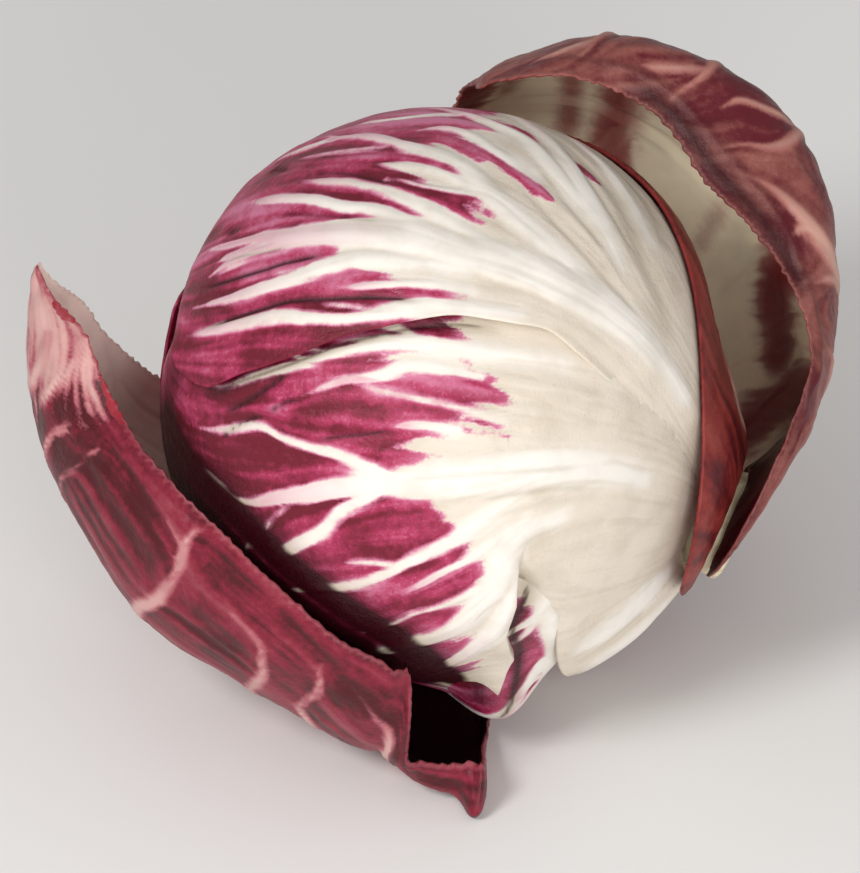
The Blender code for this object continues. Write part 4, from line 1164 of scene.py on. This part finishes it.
# Painted shade inside the boat: dark toward the stem, where the ball shades it, and under the near rim
inner.shade = 0.96 * (1 - ease(0.60, 0.76, boat.up)) * (1 - ease(0.75, 0.95, boat.over))
rim_shadow = 0.8 * (1 - ease(6, 16, rim_distance(boat))) * (boat.over < 0.5) * (1 - ease(0.75, 0.85, boat.up))
inner.shade = np.maximum(inner.shade, rim_shadow)
inner.finish(fray=6)
inner.rib = np.minimum(inner.rib, -1.3)
inner.add_stains(BOAT_STAINS)
leaf_piece("outer_leaf_front", boat, outer, inner, LEAF, BOAT_SKIN, on_table=True)

# %% [markdown]
# ## Stem and heart
# The stem was cut with a knife. Its end is pale, a little hollow and ringed, and its side is rough where old
# leaves were pulled off. The heart is the tight bud in the middle. Both are turned about the stem's axis and
# then pushed in and out, the bud in spiral folds.

# %% Stem and heart


def core_finish(name, pale, ring, brown):
    made = bpy.data.materials.new(name)
    made.use_nodes = True
    tree = made.node_tree
    shader = tree.nodes["Principled BSDF"]
    place = add_node(tree, "ShaderNodeTexCoord").outputs["Object"]
    rings, edge = stored(tree, "red"), stored(tree, "shade")
    fibres, blotches = noise_node(tree, place, 900.0, 4.0), noise_node(tree, place, 220.0, 3.0)
    ringed = math_node(tree, "MULTIPLY", rings, step_node(tree, fibres, 0.3, 0.7))
    colour = colour_mix(tree, ringed, pale, ring)
    browned = math_node(tree, "MULTIPLY", edge, step_node(tree, blotches, 0.35, 0.65))
    colour = colour_mix(tree, browned, colour, brown)
    tree.links.new(colour, shader.inputs["Base Color"])
    tree.links.new(math_node(tree, "MULTIPLY_ADD", fibres, 0.25, 0.42), shader.inputs["Roughness"])
    bumps = math_node(tree, "ADD", fibres, math_node(tree, "MULTIPLY", blotches, 1.5))
    lumps = add_node(tree, "ShaderNodeBump", {"Height": bumps, "Strength": 0.6, "Distance": 0.0004})
    tree.links.new(lumps.outputs["Normal"], shader.inputs["Normal"])
    shader.inputs["Subsurface Weight"].default_value = 0.15
    shader.inputs["Subsurface Scale"].default_value = 0.002
    return made


def turned_piece(name, profile, turns, shape, finish):
    """A body turned about the stem's axis from (height, radius, ring, edge) rows, and pushed by shape."""
    profile = np.array(profile, float)
    angles = np.linspace(0, 2 * math.pi, turns, endpoint=False)
    height, radius = profile[:, 0][:, None], profile[:, 1][:, None]
    push = shape(height, angles[None, :], radius)
    spokes = np.cos(angles)[None, :, None] * FRONT + np.sin(angles)[None, :, None] * UPPER
    points = CENTRE + STEMWARD * (height + 0 * angles)[..., None] + spokes * (radius + push)[..., None]
    rings = len(profile)
    index = np.arange(rings * turns).reshape(rings, turns)
    following = np.roll(index, -1, axis=1)
    faces = np.stack([index[:-1], following[:-1], following[1:], index[1:]], -1).reshape(-1, 4).tolist()
    faces += [index[0, ::-1].tolist(), index[-1].tolist()]
    mesh = bpy.data.meshes.new(name)
    mesh.from_pydata(points.reshape(-1, 3).tolist(), [], faces)
    for label, column in (("red", 2), ("shade", 3)):
        values = np.repeat(profile[:, column], turns).astype(np.float32)
        mesh.attributes.new(label, "FLOAT", "POINT").data.foreach_set("value", values)
    mesh.polygons.foreach_set("use_smooth", [True] * len(mesh.polygons))
    mesh.materials.append(finish)
    made = bpy.data.objects.new(name + "_core", mesh)
    bpy.context.scene.collection.objects.link(made)
    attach(made, "root")
    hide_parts(name)
    print(name, rings * turns, "points")
    return made


STEM_END = CORE_START + CORE_LENGTH
stem_rows = [(CORE_START, 0.0004, 0, 0), (CORE_START, CORE_R, 0, 0)]
for h in np.linspace(0.027, STEM_END - 0.0012, 40):
    stem_rows.append((h, float(stem_radius(h)), 0, ease(0.052, 0.058, h) * 0.5))
stem_rows += [(STEM_END - 0.0004, 0.0101, 0, 0.9), (STEM_END, 0.0094, 0, 0.8)]
for r in np.linspace(0.0088, 0.0003, 26):
    ring = 0.9 * math.exp(-(((r - 0.0062) / 0.0007) ** 2)) + 0.35 * (0.5 + 0.5 * math.cos(r / 0.00035))
    stem_rows.append((STEM_END - 0.0011 * float(ease(0.0094, 0.0, r)), r, ring, 0.25))


def stem_shape(height, turn, radius):
    wavy = 0.00022 * np.sin(5 * turn + 300 * height) + 0.00014 * np.sin(11 * turn - 500 * height)
    return wavy * np.clip(radius / 0.006, 0, 1) - 0.0002 * np.clip(radius / 0.009, 0, 1)


STEM_SKIN = core_finish("cut_stem", (0.74, 0.66, 0.46), (0.52, 0.42, 0.22), (0.36, 0.22, 0.10))
turned_piece("stem", stem_rows, 96, stem_shape, STEM_SKIN)

bud_rows = []
for a in np.linspace(0.02, math.pi - 0.02, 60):
    bud_rows.append((HEART_R * math.cos(a), max(HEART_R * math.sin(a), 0.0002), 0.5, 0.3))


def bud_shape(height, turn, radius):
    return -0.0013 * np.abs(np.sin(2.5 * turn + 90 * height)) ** 6 * np.clip(radius / 0.008, 0, 1)


HEART_SKIN = core_finish("pale_heart", (0.80, 0.74, 0.46), (0.82, 0.78, 0.60), (0.50, 0.10, 0.16))
turned_piece("heart_bud", bud_rows, 120, bud_shape, HEART_SKIN)

# %% [markdown]
# ## Table, light and camera
# The head lies on a plain pale floor in soft studio light: a large lamp high on the left and a larger, lower
# one in front, a little to the right. The camera looks down on it by 38 degrees through a long lens, which
# keeps the ball round.

# %% Stage
scene = bpy.context.scene
floor_mesh = bpy.data.meshes.new("floor")
floor_mesh.from_pydata([(-4, -4, 0), (4, -4, 0), (4, 4, 0), (-4, 4, 0)], [], [(0, 1, 2, 3)])
floor = bpy.data.objects.new("floor", floor_mesh)
scene.collection.objects.link(floor)
paper = bpy.data.materials.new("pale_paper")
paper.use_nodes = True
paper.node_tree.nodes["Principled BSDF"].inputs["Base Color"].default_value = (0.86, 0.86, 0.86, 1)
paper.node_tree.nodes["Principled BSDF"].inputs["Roughness"].default_value = 0.9
floor_mesh.materials.append(paper)
floor.location.z = -0.0002

world = bpy.data.worlds.new("studio")
scene.world = world
world.use_nodes = True
world.node_tree.nodes["Background"].inputs["Color"].default_value = (1.0, 0.985, 0.965, 1)
world.node_tree.nodes["Background"].inputs["Strength"].default_value = 0.46


def add_lamp(name, place, size, watts, tint):
    lamp = bpy.data.lights.new(name, "AREA")
    lamp.shape, lamp.size, lamp.energy, lamp.color = "DISK", size, watts, tint
    made = bpy.data.objects.new(name, lamp)
    made.location = place
    direction = bpy.data.objects.new(name + "_aim", None)
    direction.location = (0, 0, 0.05)
    scene.collection.objects.link(made)
    scene.collection.objects.link(direction)
    follow = made.constraints.new("TRACK_TO")
    follow.target = direction
    return made


add_lamp("key", (-0.50, -0.55, 0.80), 0.35, 4.7, (1.0, 0.98, 0.95))
add_lamp("fill", (0.30, -1.1, 0.38), 0.6, 6.2, (1.0, 0.98, 0.95))

lift = math.radians(FRONT_LIFT)
viewer = np.array((0.0, -math.cos(lift), math.sin(lift)))
up_of_view = np.array((0.0, math.sin(lift), math.cos(lift)))
DISTANCE, FRAME_HEIGHT = 2.5, 0.158
aim = CENTRE + np.array((-0.00235, 0, 0)) - 0.0066 * up_of_view
camera_data = bpy.data.cameras.new("camera")
camera_data.sensor_width = 36.0
camera_data.lens = 36.0 * DISTANCE / FRAME_HEIGHT
camera_data.clip_start, camera_data.clip_end = 0.1, 20
camera = bpy.data.objects.new("camera", camera_data)
camera.location = aim + viewer * DISTANCE
camera.rotation_euler = (math.radians(90 - FRONT_LIFT), 0, 0)
scene.collection.objects.link(camera)
scene.camera = camera
scene.view_settings.view_transform = "Standard"
print("camera at", [round(v, 3) for v in camera.location])
